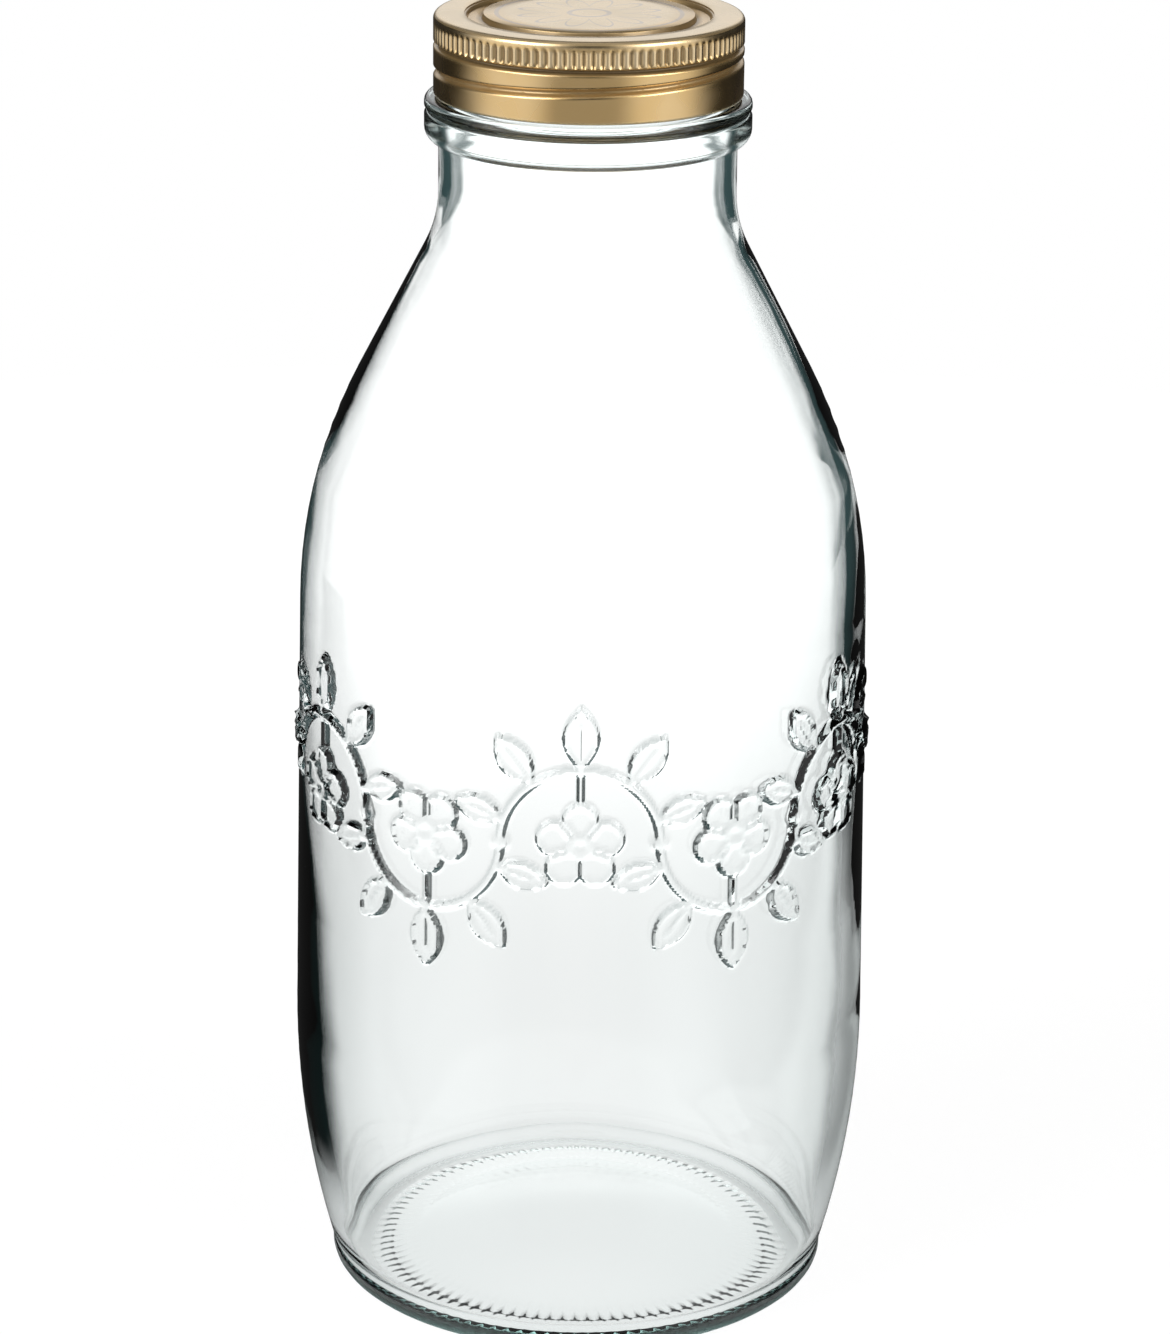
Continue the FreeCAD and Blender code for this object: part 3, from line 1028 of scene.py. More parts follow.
    def outside(self) -> list[Point]:
        """Outer outline, from the push-up's middle over the rim to the top of the bore.

        Returns:
            The outline's points.
        """
        line = Outline((0.0, self.push_up))
        line.level_arc((0.0, self.push_up), self.bearing_in, 7)
        line.line((self.bearing_in[0] + self.rib_len, 0.0), 6)
        line.line(self.bearing_out, 2)
        line.level_arc(self.bearing_out, self.heel_low, 7)
        line.arc(self.heel_centre, self.heel_arc_r, self.heel_low_angle, self.taper, 13)
        tall = self.body_high[1] - self.body_low[1]
        for z, steps in ((self.relief.low(), 3), (self.relief.high(), 100), (self.body_high[1], 1)):
            share = (z - self.body_low[1]) / tall
            line.line((self.body_low[0] + (self.body_high[0] - self.body_low[0]) * share, z), steps)
        line.arc(self.shoulder_centre, self.shoulder_arc_r, self.taper, self.slope, 11)
        line.line(self.cone_high, 2)
        line.arc(self.neck_centre, self.neck_arc_r, math.pi + self.slope, math.pi, 6)
        self._collar(line)
        self._mouth(line)
        return line.points

    def _collar(self, line: Outline) -> None:
        """Add the carrying collar to the outer outline.

        Args:
            line: The outline so far, up to the neck.
        """
        bulge_z = self.collar_low + self.collar_proud
        groove_z = self.collar_top - self.collar_lip_h
        line.line((self.neck_r, self.collar_low - self.collar_foot), 1)
        line.arc((self.neck_r, bulge_z), self.collar_proud, -math.pi / 2, 0, 7)
        line.line((self.collar_r, groove_z), 1)
        for share in self.collar_groove_shares:
            dip = self.collar_groove * math.sin(math.pi * share)
            line.line((self.collar_r - dip, groove_z + self.collar_groove_h * share), 1)
        centre = (self.collar_r - self.collar_lip_r, self.collar_top - self.collar_lip_r)
        line.arc(centre, self.collar_lip_r, 0, math.pi / 2, 4)

    def _mouth(self, line: Outline) -> None:
        """Add the threaded mouth and its rim to the outer outline.

        Args:
            line: The outline so far, up to the collar's top.
        """
        turn_z = self.glass_top - self.lip_round
        line.line((self.finish_r + self.finish_foot, self.collar_top), 1)
        line.line((self.finish_r, self.collar_top + self.finish_foot), 1)
        line.line((self.finish_r, self.thread_low_z + self.thread_rise + self.thread_half), 15)
        line.line((self.finish_r, turn_z), 1)
        line.arc((self.finish_r - self.lip_round, turn_z), self.lip_round, 0, math.pi / 2, 4)
        line.line((self.mouth_r + self.lip_round, self.glass_top), 1)
        line.arc((self.mouth_r + self.lip_round, turn_z), self.lip_round, math.pi / 2, math.pi, 4)

    def inside(self) -> list[Point]:
        """Cavity's outline, from the bore down to the middle of the floor.

        Returns:
            The outline's points.
        """
        line = Outline((self.mouth_r, self.glass_top - self.lip_round - self.bore_drop))
        start_r = self.mouth_r + self.bore_arc_r * (1 - math.cos(self.slope))
        low = polar(self.shoulder_centre, self.shoulder_arc_r - self.wall, self.slope)
        high = along(low, self.slope, (low[0] - start_r) / math.sin(self.slope))
        bore = (self.mouth_r + self.bore_arc_r, high[1] + self.bore_arc_r * math.sin(self.slope))
        line.line((self.mouth_r, self.collar_top - self.bore_plain), 1).line((self.mouth_r, bore[1]), 12)
        line.arc(bore, self.bore_arc_r, math.pi, math.pi + self.slope, 6)
        line.line(low, 4)
        line.arc(self.shoulder_centre, self.shoulder_arc_r - self.wall, self.slope, self.taper, 10)
        line.line(polar(self.heel_centre, self.heel_arc_r - self.wall, self.taper), 12)
        floor_mid = self.push_up + self.base_t
        floor_z = floor_mid - self.floor_dish
        reach = self.heel_arc_r - self.wall - self.floor_corner_r
        corner_angle = -math.asin((self.heel_rise - floor_z - self.floor_corner_r) / reach)
        corner = polar(self.heel_centre, reach, corner_angle)
        line.arc(self.heel_centre, self.heel_arc_r - self.wall, self.taper, corner_angle, 8)
        line.arc(corner, self.floor_corner_r, corner_angle, -math.pi / 2, 7)
        line.level_arc((0.0, floor_mid), (corner[0], floor_z), 4)
        return line.points

    def build(self) -> bpy.types.Object:
        """Model the glass as one closed mesh.

        Returns:
            The glass.
        """
        outer = turn_outline("glass_bottle", self.outside(), self.outer_steps)
        self._raise_outside(outer)
        inner = turn_outline("glass_cavity", self.inside(), self.inner_steps)
        self._wave_inside(inner)
        bpy.ops.object.select_all(action="DESELECT")
        inner.select_set(True)
        outer.select_set(True)
        bpy.context.view_layer.objects.active = outer
        bpy.ops.object.join()
        bpy.ops.object.mode_set(mode="EDIT")
        bpy.ops.mesh.select_mode(type="EDGE")
        bpy.ops.mesh.select_all(action="DESELECT")
        bpy.ops.mesh.select_non_manifold()
        bpy.ops.mesh.bridge_edge_loops()
        bpy.ops.mesh.select_all(action="SELECT")
        bpy.ops.mesh.normals_make_consistent(inside=False)
        bpy.ops.object.mode_set(mode="OBJECT")
        smooth(outer, self.crisp)
        return outer

    def _raise_outside(self, piece: bpy.types.Object) -> None:
        """Raise the vine, the thread and the bearing ring's ribs.

        Args:
            piece: The turned outer wall.
        """
        r, angle, z = corners(piece)
        low, high = self.relief.low(), self.relief.high()
        crowded = rise(z, self.crowd_low, low) * rise(self.cone_low[1] - z, 0.0, self.crowd_fade)
        angle = angle + self.crowding * crowded * np.sin(angle - FRONT + math.pi)
        body = (z > low - self.hair) & (z < high + self.hair)
        r[body] += self.relief.raised(angle[body], z[body])
        # Painted shade on the vine's steep sides, stored for the glass's colour.
        flank_shade = np.zeros_like(r)
        flank_shade[body] = self.relief.flank_shade_mask(angle[body], z[body])
        paint(piece, "flank_shade", flank_shade)
        r += self.thread_depth * self._thread(r, angle, z)
        groove = self.rib_depth * (0.5 + 0.5 * np.cos(angle * self.rib_count))
        inner = self.bearing_in[0]
        outer = inner + self.rib_len
        foot = z < self.bearing_corner_h
        ring = rise(r - inner + self.rib_over, 0.0, self.rib_fade)
        ring = ring * rise(outer + self.rib_over - r, 0.0, self.rib_fade)
        land = rise(r, outer, outer + self.land_fade) * foot
        collar = rise(z, self.collar_low - self.scuff_fade, self.collar_low)
        collar = collar * (z < self.collar_top + self.hair)
        paint(piece, "scuffed", np.maximum(land, collar * self.collar_scuff))
        move_corners(piece, r, angle, z + groove * ring * foot)

    def _thread(self, r: np.ndarray, angle: np.ndarray, z: np.ndarray) -> np.ndarray:
        """Height of the mouth's thread, from zero to one.

        Args:
            r: Radii.
            angle: Angles round the bottle.
            z: Heights.

        Returns:
            The thread's height over the wall.
        """
        start = (self.thread_low_angle, self.thread_low_z)
        out = np.zeros_like(r)
        for middle, full in winding(angle, start, self.thread_rise, self.thread_pitch, self.thread_ramp):
            out = np.maximum(out, ridge(np.abs(z - middle), self.thread_half) * full)
        return out * (z > self.collar_top + self.hair) * (np.abs(r - self.finish_r) < self.hair)

    def _wave_inside(self, piece: bpy.types.Object) -> None:
        """Let the blown inner wall wander behind the moulded outside.

        It is thin high up and thick at the heel and the neck. Each wave has its height, its count round the
        bottle, the angle at which it starts and its turn per millimetre upwards.

        Args:
            piece: The turned cavity.
        """
        r, angle, z = corners(piece)
        side = np.cos(angle)
        right = np.maximum(side, 0)
        upper = self.thin_wall + self.thin_lopsided * side + self.shoulder_more * right
        heel = self.heel_wall + self.heel_lopsided * side
        more_low, more_high = self.heavy_right
        heavy = 1 - rise(z, self.heavy_low + more_low * right, self.heavy_high + more_high * right)
        heavy = heavy * (self.front_share + (1 - self.front_share) * np.abs(side))
        neck = rise(z, self.neck_low, self.neck_high)
        wander = np.zeros_like(z)
        for tall, count, start, turn in self.waves:
            wander += tall * np.sin(angle * count + start + z * turn)
        thick = upper + (heel - upper) * heavy + (self.neck_wall - upper) * neck + wander * (1 - neck)
        wall = [p for p in self.outside() if p[0] > self.neck_r - SAME_POINT and 0 < p[1] < self.collar_low]
        outer_r = np.interp(z, [p[1] for p in wall], [p[0] for p in wall])
        below_rim = rise(self.collar_top - self.rim_drop - z, 0.0, self.rim_blend)
        held = rise(z, self.foot_low, self.foot_high) * below_rim
        move_corners(piece, r + (outer_r - thick - r) * held, angle, z)

    def dress(self, piece: bpy.types.Object) -> None:
        """Give the glass its finish and its place in the frame.

        Args:
            piece: The glass.
        """
        cover(piece, self.finish.material())
        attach(piece, "bottle")
        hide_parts("bottle")


@dataclass
class ScrewBand:
    """The rolled tinplate band: flange, knurl belt, bead, rolled thread, skirt and curled edge."""

    finish: GoldLacquer = field(default_factory=GoldLacquer)
    sheet: float = 0.3
    shoulder_round: float = 1.0
    opening_r: float = 20.5
    opening_share: float = 0.6
    knurl_h: float = 3.35
    knurl_foot: float = 0.3
    knurl_count: int = 104
    knurl_depth: float = 0.42
    knurl_share: float = 0.62
    knurl_inside: float = 0.6
    knurl_low_fade: Point = (-0.05, 0.45)
    knurl_high_fade: Point = (0.35, 0.85)
    flute_round: float = 0.8
    rolled_share: float = 0.6
    bead_half: float = 0.6
    bead_shares: tuple[float, ...] = (-1.0, -0.7, -0.4, -0.15, 0.15, 0.4, 0.7, 1.0)
    inward_r: float = 23.7
    curl_r: float = 0.45
    curl_gap: float = 0.1
    curl_turn: float = math.pi * 1.4
    curl_share: float = 0.7
    thread_pitch: float = 5.08
    groove_half: float = 0.9
    groove_low_gap: float = 1.8
    groove_high_gap: float = 0.18
    groove_front_drop: float = 8.2
    groove_ramp: float = math.radians(20.0)
    hair: float = 0.02
    inside_drop: float = 0.2
    flute_power: float = 1.5
    # Strengths of the painted shade in the rolled groove and in the bead.
    groove_shade: float = 0.6
    bead_shade: float = 0.8
    bead_width: float = 0.48
    bead_skin: float = 0.6
    shoulder_place: float = 0.25
    shoulder_width: float = 0.3
    shoulder_skin: float = 0.5
    shoulder_wear: float = 0.7
    land_power: int = 3
    land_wear: float = 0.9
    hem_high: float = 0.7
    hem_fade: float = 0.5
    hem_wear: float = 0.6
    flange_fade: Point = (-0.3, -0.05)
    steps: int = 624
    crisp: float = 60.0

    def __post_init__(self) -> None:
        """Take the band's height and radius from the frame, and work out the rest."""
        low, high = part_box("screw_band")
        self.low_z, self.top_z = low[2] / MM, high[2] / MM
        self.out_r = max(high[0], high[1]) / MM
        self.in_r = self.out_r - self.sheet
        self.knurl_top = self.top_z - self.shoulder_round
        self.knurl_low = self.knurl_top - self.knurl_h
        self.bead_z = self.knurl_low - self.bead_half
        self.belt_top = self.bead_z - self.bead_half
        self.depth = self.in_r - self.inward_r

    def outline(self) -> list[Point]:
        """Closed outline of the band's sheet, from the flange's opening round and back.

        Returns:
            The outline's points.
        """
        half = self.sheet / 2
        edge_r = self.opening_r + half * self.opening_share
        shoulder = (self.out_r - self.shoulder_round, self.knurl_top)
        curl = (self.out_r - self.curl_r, self.low_z + self.curl_r)
        line = Outline((edge_r, self.top_z))
        line.line((shoulder[0], self.top_z), 3)
        line.arc(shoulder, self.shoulder_round, math.pi / 2, 0, 6)
        line.line((self.out_r, self.knurl_low + self.knurl_foot), 7)
        self._bead(line, self.out_r, 1)
        line.line((self.out_r, curl[1] + self.curl_gap), 34)
        line.arc(curl, self.curl_r, 0, -self.curl_turn, 9)
        line.arc(curl, self.curl_r - self.sheet * self.curl_share, -self.curl_turn, 0, 4)
        line.line((self.in_r, curl[1] + self.curl_r), 1)
        line.line((self.in_r, self.belt_top), 20)
        self._bead(line, self.in_r, -1)
        line.line((self.in_r - self.knurl_depth * self.knurl_inside, self.knurl_top), 3)
        line.arc(shoulder, self.shoulder_round - self.sheet, 0, math.pi / 2, 3)
        line.line((edge_r, self.top_z - self.sheet), 2)
        line.arc((edge_r, self.top_z - half), half, -math.pi / 2, -math.pi * 1.5, 3)
        line.points[-1] = line.points[0]
        return line.points

    def _bead(self, line: Outline, wall_r: float, way: int) -> None:
        """Add the inward bead under the knurl belt to one face of the sheet.

        Args:
            line: The outline so far.
            wall_r: Radius of that face.
            way: One going down and minus one going up.
        """
        for share in self.bead_shares:
            dip = self.depth * self.rolled_share * (0.5 + 0.5 * math.cos(math.pi * share))
            line.line((wall_r - dip, self.bead_z - way * share * self.bead_half), 1)

    def build(self) -> bpy.types.Object:
        """Model the band as one closed mesh.

        Returns:
            The band.
        """
        piece = turn_outline("gold_band", self.outline(), self.steps)
        r, angle, z = corners(piece)
        # Painted shade: the band's inner faces are painted dark, as they lie in shadow.
        inside = (r < self.in_r + self.hair) * (z < self.top_z - self.inside_drop)
        flute = self._flute(angle) * self._knurl_zone(r, z)
        groove = self._groove(r, angle, z)
        r = r - self.knurl_depth * flute - self.depth * self.rolled_share * groove
        move_corners(piece, r, angle, z)
        # Painted shade in the flutes, the groove, the bead and on the inside.
        bead = swell(z, self.bead_z, self.bead_width) * (r > self.in_r - self.bead_skin)
        shaded_hollows = [flute**self.flute_power, groove * self.groove_shade, bead * self.bead_shade, inside]
        paint(piece, "deep_shade", np.maximum.reduce(shaded_hollows))
        # Wear on the edges, and painted reflection on the flange's top.
        paint(piece, "wear_and_sheen", self._wear_and_sheen_mask(r, angle, z))
        smooth(piece, self.crisp)
        return piece

    def _wear_and_sheen_mask(self, r: np.ndarray, angle: np.ndarray, z: np.ndarray) -> np.ndarray:
        """Wear on the band's shoulder, the knurl's lands and the hem, and painted reflection on the flange's
        top.

        Args:
            r: Radii.
            angle: Angles round the band.
            z: Heights.

        Returns:
            The wear and painted reflection, from zero to one.
        """
        shoulder = swell(z, self.knurl_top + self.shoulder_place, self.shoulder_width)
        shoulder = shoulder * (r > self.out_r - self.shoulder_skin)
        land = (1 - self._flute(angle)) ** self.land_power * self._knurl_zone(r, z)
        hem = rise(self.low_z + self.hem_high - z, 0.0, self.hem_fade)
        # Painted reflection: the whole flange top is made paler.
        flange = rise(z - self.top_z, *self.flange_fade)
        wear_and_sheen = [shoulder * self.shoulder_wear, land * self.land_wear, hem * self.hem_wear, flange]
        return np.maximum.reduce(wear_and_sheen)

    def _flute(self, angle: np.ndarray) -> np.ndarray:
        """Depth of the knurl's flutes round the band, from zero to one."""
        wave = 0.5 - 0.5 * np.cos(angle * self.knurl_count)
        return np.clip((wave - (1 - self.knurl_share)) / self.knurl_share, 0, 1) ** self.flute_round

    def _knurl_zone(self, r: np.ndarray, z: np.ndarray) -> np.ndarray:
        """One on the knurl belt's outer face, fading out at its ends.

        Args:
            r: Radii.
            z: Heights.

        Returns:
            The zone, from zero to one.
        """
        low = rise(z - self.knurl_low, *self.knurl_low_fade)
        high = rise(self.knurl_top - z, *self.knurl_high_fade)
        return low * high * (r > self.in_r + self.hair)

    def _groove(self, r: np.ndarray, angle: np.ndarray, z: np.ndarray) -> np.ndarray:
        """Depth of the rolled thread, from zero to one.

        Args:
            r: Radii.
            angle: Angles round the band.
            z: Heights.

        Returns:
            The thread's depth.
        """
        low_z = self.low_z + self.groove_low_gap
        tall = self.belt_top - self.groove_half - self.groove_high_gap - low_z
        front_z = self.top_z - self.groove_front_drop
        start = (FRONT - (front_z - low_z) * TURN / self.thread_pitch, low_z)
        out = np.zeros_like(r)
        for middle, full in winding(angle, start, tall, self.thread_pitch, self.groove_ramp):
            shape = 0.5 + 0.5 * np.cos(math.pi * np.clip((z - middle) / self.groove_half, -1, 1))
            out = np.maximum(out, shape * full)
        return out * (z < self.belt_top) * (z > self.low_z + 2 * self.curl_r)

    def dress(self, piece: bpy.types.Object) -> None:
        """Give the band its finish and its place in the frame.

        Args:
            piece: The band.
        """
        cover(piece, self.finish.material("gold_band", Print.BARE))
        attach(piece, "band")
        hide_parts("screw_band")


@dataclass
class LidDisc:
    """The stamped disc: flat rim, channel and raised middle panel, with rounded steps."""

    finish: GoldLacquer = field(default_factory=GoldLacquer)
    sheet: float = 0.3
    channel_r: float = 20.4
    channel_width: float = 2.75
    print_inset: float = 1.3
    panel_edge: float = 0.35
    panel_lean: float = 0.6
    panel_shares: tuple[float, ...] = (0.1, 0.25, 0.4, 0.6, 0.75, 0.9, 1.0)
    wall_foot: float = 0.35
    wall_edge: float = 0.5
    wall_shares: tuple[float, ...] = (0.15, 0.3, 0.5, 0.7, 0.85, 1.0)
    edge_share: float = 0.9
    edge_past: float = 0.2
    # Strengths of the painted shade on the panel's slope and in the channel corner.
    edge_shade: float = 0.85
    corner_width: float = 0.5
    corner_shade: float = 0.6
    # Fade of the painted reflection over the middle panel.
    panel_sheen_fade: float = 0.3
    steps: int = 192
    crisp: float = 50.0

    def __post_init__(self) -> None:
        """Take the disc's heights and radius from the frame."""
        low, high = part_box("lid_disc")
        self.channel_low, self.panel_top = low[2] / MM, high[2] / MM
        self.rim_r = max(high[0], high[1]) / MM
        self.rim_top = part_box("screw_band")[1][2] / MM - self.sheet
        self.foot_r = self.channel_r - self.channel_width
        self.print_r = self.foot_r - self.print_inset

    def face(self, drop: float) -> list[Point]:
        """One face of the stamped sheet, from the middle to the rim.

        Args:
            drop: How far the face lies under the top one, measured square to the sheet.

        Returns:
            The face's points.
        """
        top, floor_z = self.panel_top - drop, self.channel_low + self.sheet - drop
        rim_z = self.rim_top - drop
        line = Outline((0.0, top))
        edge_r = self.foot_r - self.panel_edge - drop * self.panel_lean
        line.line((edge_r, top), 4)
        line.ease((edge_r + self.panel_edge, floor_z), self.panel_shares)
        wall_r = self.channel_r - self.sheet + drop - self.wall_foot
        line.line((wall_r, floor_z), 2)
        line.ease((wall_r + self.wall_edge, rim_z), self.wall_shares)
        line.line((self.rim_r, rim_z), 3)
        return line.points

    def build(self) -> bpy.types.Object:
        """Model the disc as one closed mesh.

        Returns:
            The disc.
        """
        outline = self.face(0.0) + self.face(self.sheet)[::-1]
        piece = turn_outline("gold_disc", outline, self.steps)
        r, _, _ = corners(piece)
        edge_r = self.foot_r - self.panel_edge * self.edge_share
        edge = (r > edge_r) * (r < self.foot_r + self.edge_past)
        corner = swell(r, self.channel_r, self.corner_width)
        # Painted shade on the panel's slope, standing for its dark reflection, and in the channel corner.
        paint(piece, "deep_shade", np.maximum(edge * self.edge_shade, corner * self.corner_shade))
        # Painted reflection: the whole middle panel is made paler.
        paint(piece, "wear_and_sheen", rise(edge_r - r, 0.0, self.panel_sheen_fade))
        smooth(piece, self.crisp)
        return piece

    def dress(self, piece: bpy.types.Object) -> None:
        """Give the disc its finish and its place in the frame.

        Args:
            piece: The disc.
        """
        cover(piece, self.finish.material("gold_disc", Print.ROSETTE, self.print_r * MM))
        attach(piece, "lid")
        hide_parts("lid_disc")


@dataclass
class SealRing:
    """The ring of sealing compound, which keeps its solid."""

    finish: SealCompound = field(default_factory=SealCompound)

    def dress(self) -> bpy.types.Object:
        """Give the ring its finish.

        Returns:
            The ring.
        """
        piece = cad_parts["sealing_ring"]
        cover(piece, self.finish.material())
        return piece


@dataclass(frozen=True)
class Lamp:
    """One square lamp, in metres and watts."""

    name: str
    place: tuple[float, float, float]
    size: float
    watts: float


@dataclass
class Studio:
    """White floor, soft light and the camera, in metres and radians.

    A pair of limits runs from the value at which a share is zero to the value at which it is one.
    """

    floor_r: float = 0.6
    floor_sides: int = 96
    floor_grey: Colour = (0.8, 0.8, 0.8)
    floor_white: float = 1.08
    floor_glow: float = 0.86
    shadow_end: Point = (0.15, 0.54)
    near_glow: float = 0.9
    far_glow: float = 1.4
    glow_from: Point = (0.12, 0.42)
    dark: Colour = (0.003, 0.010, 0.010)
    haze: Colour = (0.046, 0.086, 0.089)
    haze_from: Point = (0.12, 0.54)
    card_eye: float = 0.18
    card_left: Point = (0.235, 0.30)
    card_right: Point = (0.255, 0.33)
    room_end: Point = (0.92, 0.74)
    floor_end: Point = (0.62, 0.48)
    behind: Point = (-0.06, 0.03)
    near: Point = (0.3, 0.15)
    glow_side: Point = (0.0, 0.04)
    right_glow: float = 0.45
    dark_side: Point = (-0.03, -0.06)
    flag_right: Point = (0.34, 0.46)
    flag_glow: float = 0.45
    base_left: Point = (0.075, 0.05)
    base_right: Point = (0.08, 0.045)
    base_blend: Point = (-0.05, 0.05)
    sky_share: float = 0.85
    rim_share: float = 2.2
    rim_from: Point = (-0.03, 0.02)
    sky_from: Point = (0.12, 0.42)
    sky_dim: float = 0.6
    rim_dim: float = 0.4
    top_clear: float = 0.7
    left_place: float = -1.05
    right_place: float = 1.0
    side_fade: Point = (0.85, 0.25)
    front_fade: Point = (1.1, 0.2)
    front_top: Point = (0.15, -0.1)
    front_level: float = 0.45
    walls_low: Point = (-0.8, -0.5)
    back_fade: Point = (0.55, 0.25)
    back_low: Point = (0.0, 0.16)
    back_top: Point = (0.6, 0.4)
    top_from: Point = (0.5, 0.85)
    top_level: float = 0.25
    panel_level: float = 0.95
    least_level: float = 0.02
    lamps: tuple[Lamp, ...] = (
        Lamp("lamp_left", (-0.9, -0.7, 0.9), 0.8, 9.0),
        Lamp("lamp_right", (0.9, -0.6, 0.7), 0.6, 5.0),
    )
    lens: float = 124.25
    sensor: float = 36.0
    nearest: float = 0.01
    target: tuple[float, float, float] = (0.00047, 0.0, 0.1088)
    distance: float = 0.7896
    pitch: float = math.radians(18.9)
    roll: float = math.radians(0.631)

    def build(self) -> None:
        """Make the floor, the world, the lamps and the camera."""
        bpy.context.scene.view_settings.view_transform = "Standard"
        self._floor()
        self._world()
        for lamp in self.lamps:
            self._lamp(lamp)
        self._camera()

    def _floor(self) -> None:
        """Round white floor that keeps a soft shadow."""
        bpy.ops.object.select_all(action="DESELECT")
        bpy.ops.mesh.primitive_circle_add(vertices=self.floor_sides, radius=self.floor_r, fill_type="NGON")
        plate = bpy.context.active_object
        plate.name = "studio_floor"
        made, book = fresh_material("studio_floor")
        camera, glass, turned = self._rays(book)
        x, y, _ = book.split(book.place())
        away = (x * x + y * y).root()
        colour = self._floor_through_glass(book, x, y, away, turned)
        seen = book.node("ShaderNodeEmission", None, {"Color": colour})
        white = book.node("ShaderNodeEmission", None, {"Color": _opaque(WHITE), "Strength": self.floor_white})
        lit = book.node("ShaderNodeBsdfDiffuse", None, {"Color": _opaque(self.floor_grey)})
        keep = self.floor_glow + away.step(*self.shadow_end) * (1.0 - self.floor_glow)
        plain = book.blend(camera * keep, lit, white)
        shade = book.blend(glass, plain, seen)
        book.node("ShaderNodeOutputMaterial", None, {"Surface": shade.outputs[0]})
        plate.data.materials.append(made)
        plate.visible_glossy = False

    def _floor_through_glass(
        self, book: NodeBook, x: Sock, y: Sock, away: Sock, turned: Sock
    ) -> bpy.types.NodeSocket:
        """What the glass shows of the floor.

        Args:
            book: The book of the floor's tree.
            x: Distance to the right.
            y: Distance backwards.
            away: Distance from the bottle.
            turned: One for rays that were turned back inside the glass.

        Returns:
            The light's colour.
        """
        near = away.step(*self.near)
        glow = turned * x.step(*self.glow_side) * near * self.right_glow
        beside = self._beside(x, y + self.card_eye, 1.0, self.floor_end)
        beside = beside.most(turned * x.step(*self.dark_side)) * (1.0 - glow)
        past = x.bearing(y + self.card_eye).step(*self.flag_right) * near
        beside = beside * (1.0 - past * self.flag_glow) * y.step(*self.behind)
        left, right = away.step(*self.base_left), away.step(*self.base_right)
        close = left + (right - left) * x.step(*self.base_blend)
        room = book.mix(away.step(*self.haze_from), self.dark, self.haze)
        level = self.near_glow + away.step(*self.glow_from) * (self.far_glow - self.near_glow)
        return self._through_glass(book, beside * (1.0 - close), room, level)

    @staticmethod
    def _rays(book: NodeBook) -> tuple[Sock, Sock, Sock]:
        """Tell apart the camera's rays, rays that went into glass, and rays turned back inside it.

        Args:
            book: The book of the floor's or the world's tree.

        Returns:
            One for each of the three kinds, in that order.
        """
        path = book.node("ShaderNodeLightPath")
        under_one = 0.5
        camera = Sock(book, path.outputs["Is Camera Ray"])
        glass = Sock(book, path.outputs["Transmission Depth"]) > under_one
        turned = Sock(book, path.outputs["Glossy Depth"]) > under_one
        return camera, glass, glass * turned

    def _beside(self, x: Sock, y: Sock, spread: float, end: Point) -> Sock:
        """How far a place or a direction lies beside the white card behind the bottle.

        Args:
            x: Its distance to the right.
            y: Its distance backwards.
            spread: Width of the card against the one on the floor.
            end: Angles between which the dim room beside the card gives way to white again.

        Returns:
            Zero on the card and one beside it.
        """
        angle = x.bearing(y)
        low_left, high_left = (spread * edge for edge in self.card_left)
        low_right, high_right = (spread * edge for edge in self.card_right)
        beside = (0.0 - angle).step(low_left, high_left).most(angle.step(low_right, high_right))
        return beside * abs(angle).step(*end)

    @staticmethod
    def _through_glass(book: NodeBook, beside: Sock, room: object, level: Scalar) -> bpy.types.NodeSocket:
        """What the glass shows of the studio: the white card, and the dim room beside it.

        Args:
            book: The book of the floor's or the world's tree.
            beside: Zero on the card and one beside it.
            room: The dim room's colour, or a link to it.
            level: How bright the card is.

        Returns:
            The light's colour.
        """
        colour = book.mix(beside, WHITE, room)
        sockets = {0: colour, "Scale": level + beside * (1.0 - level)}
        return book.node("ShaderNodeVectorMath", {"operation": "SCALE"}, sockets).outputs[0]

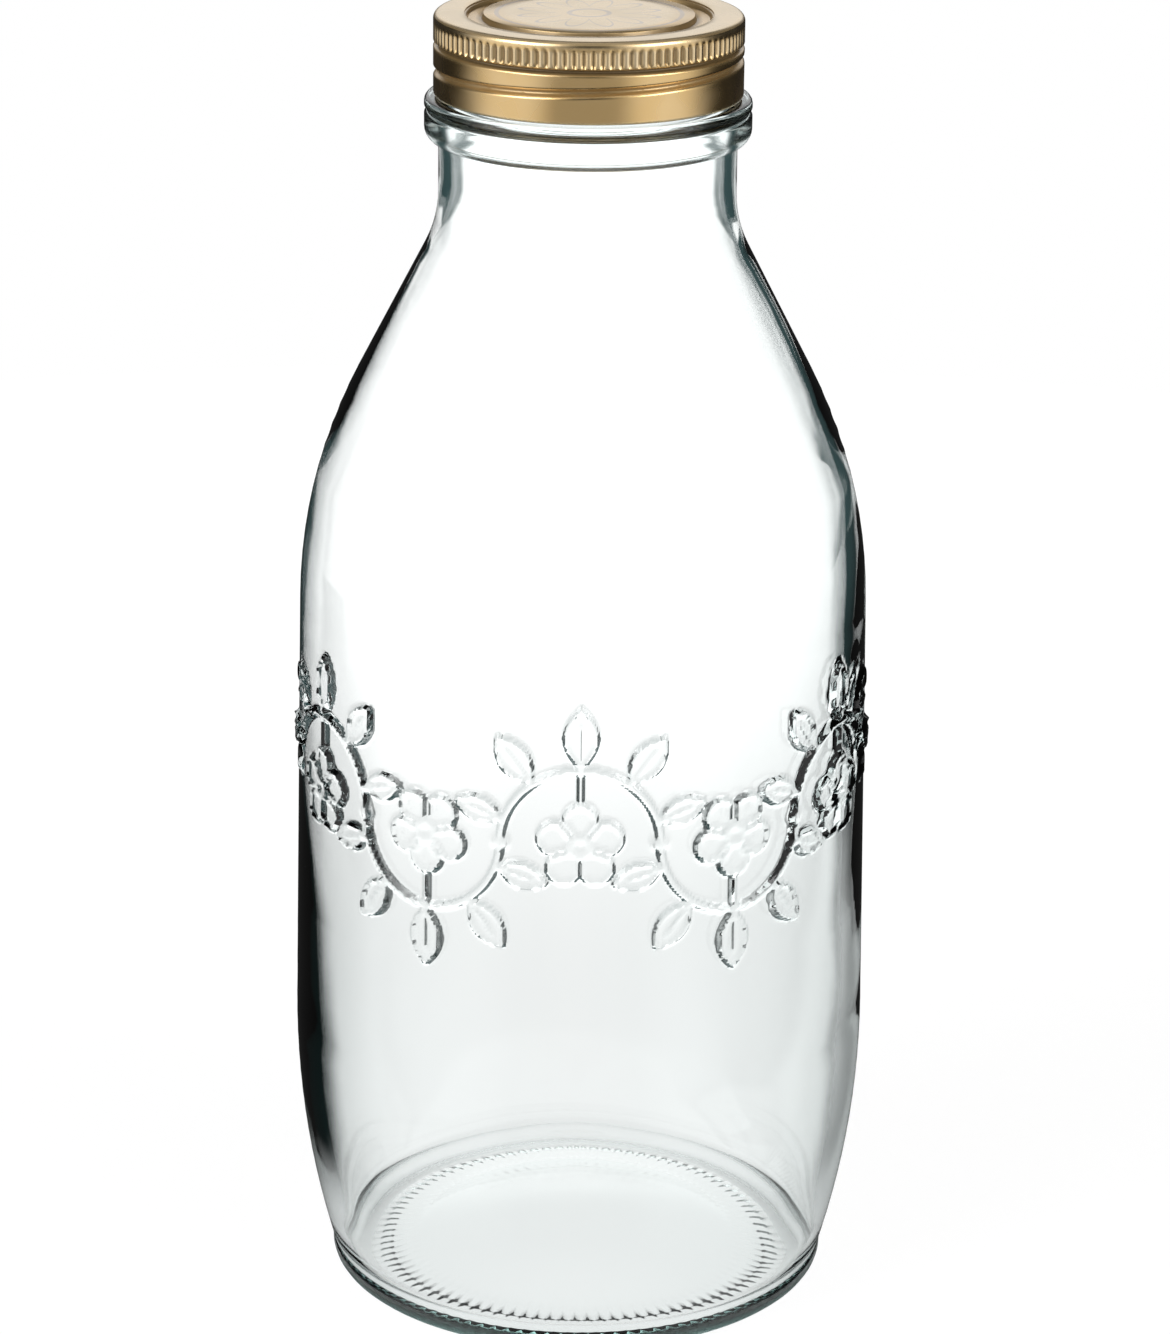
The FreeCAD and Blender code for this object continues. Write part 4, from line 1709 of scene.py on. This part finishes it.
    def _world(self) -> None:
        """Card and dim room for what looks through glass, and soft panels for reflections."""
        world = bpy.data.worlds.new("studio")
        bpy.context.scene.world = world
        world.use_nodes = True
        book = NodeBook(world.node_tree)
        way = book.node("ShaderNodeTexCoord").outputs["Generated"]
        x, y, z = book.split(way)
        side = x.bearing(0.0 - y)
        left = abs(side - self.left_place).step(*self.side_fade)
        right = abs(side - self.right_place).step(*self.side_fade)
        front = abs(side).step(*self.front_fade) * z.step(*self.front_top)
        walls = (front * self.front_level).most(left).most(right) * z.step(*self.walls_low)
        back = abs(x.bearing(y)).step(*self.back_fade) * z.step(*self.back_low) * z.step(*self.back_top)
        top = z.step(*self.top_from)
        level = self.least_level + walls.most(back).most(top * self.top_level) * self.panel_level
        camera, glass, turned = self._rays(book)
        sky = z.step(*self.sky_from)
        straight = self._beside(x, y, self.sky_share, self.room_end).most(sky * self.sky_dim)
        rim = self._beside(x, y, self.sky_share * self.rim_share, self.room_end).most(sky * self.rim_dim)
        beside = straight + (rim - straight) * turned * z.step(*self.rim_from)
        colour = self._through_glass(book, beside * (1.0 - top * self.top_clear), self.haze, self.far_glow)
        plain = camera + (1.0 - camera) * level
        seen = book.node("ShaderNodeBackground", None, {"Color": colour})
        panels = book.node("ShaderNodeBackground", None, {"Color": _opaque(WHITE), "Strength": plain})
        book.node("ShaderNodeOutputWorld", None, {"Surface": book.blend(glass, panels, seen).outputs[0]})

    def _lamp(self, lamp: Lamp) -> None:
        """Stand up one lamp that faces the bottle.

        Args:
            lamp: Its name, place, size and power.
        """
        light = bpy.data.lights.new(lamp.name, "AREA")
        light.size = lamp.size
        light.energy = lamp.watts
        made = bpy.data.objects.new(lamp.name, light)
        made.location = lamp.place
        aim = Vector(self.target) - Vector(lamp.place)
        made.rotation_euler = aim.to_track_quat("-Z", "Y").to_euler()
        made.visible_camera = False
        made.visible_transmission = False
        bpy.context.scene.collection.objects.link(made)

    def _camera(self) -> None:
        """Stand the camera where the photograph was taken from."""
        data = bpy.data.cameras.new("camera")
        data.sensor_width = self.sensor
        data.lens = self.lens
        data.clip_start = self.nearest
        camera = bpy.data.objects.new("camera", data)
        back = Vector((0.0, -math.cos(self.pitch), math.sin(self.pitch)))
        camera.location = Vector(self.target) + back * self.distance
        turn = Matrix.Rotation(math.pi / 2 - self.pitch, 4, "X") @ Matrix.Rotation(self.roll, 4, "Z")
        camera.rotation_euler = turn.to_euler()
        bpy.context.scene.collection.objects.link(camera)
        bpy.context.scene.camera = camera


def main() -> None:
    """Build and dress every piece, then the studio."""
    logging.basicConfig(level=logging.INFO, format="%(name)s: %(message)s")
    for maker in (GlassBottle(), ScrewBand(), LidDisc()):
        piece = maker.build()
        maker.dress(piece)
        log.info("%s: %d faces", piece.name, len(piece.data.polygons))
    ring = SealRing().dress()
    log.info("%s: dressed", ring.name)
    Studio().build()
    log.info("studio built")


if __name__ == "__main__":
    main()
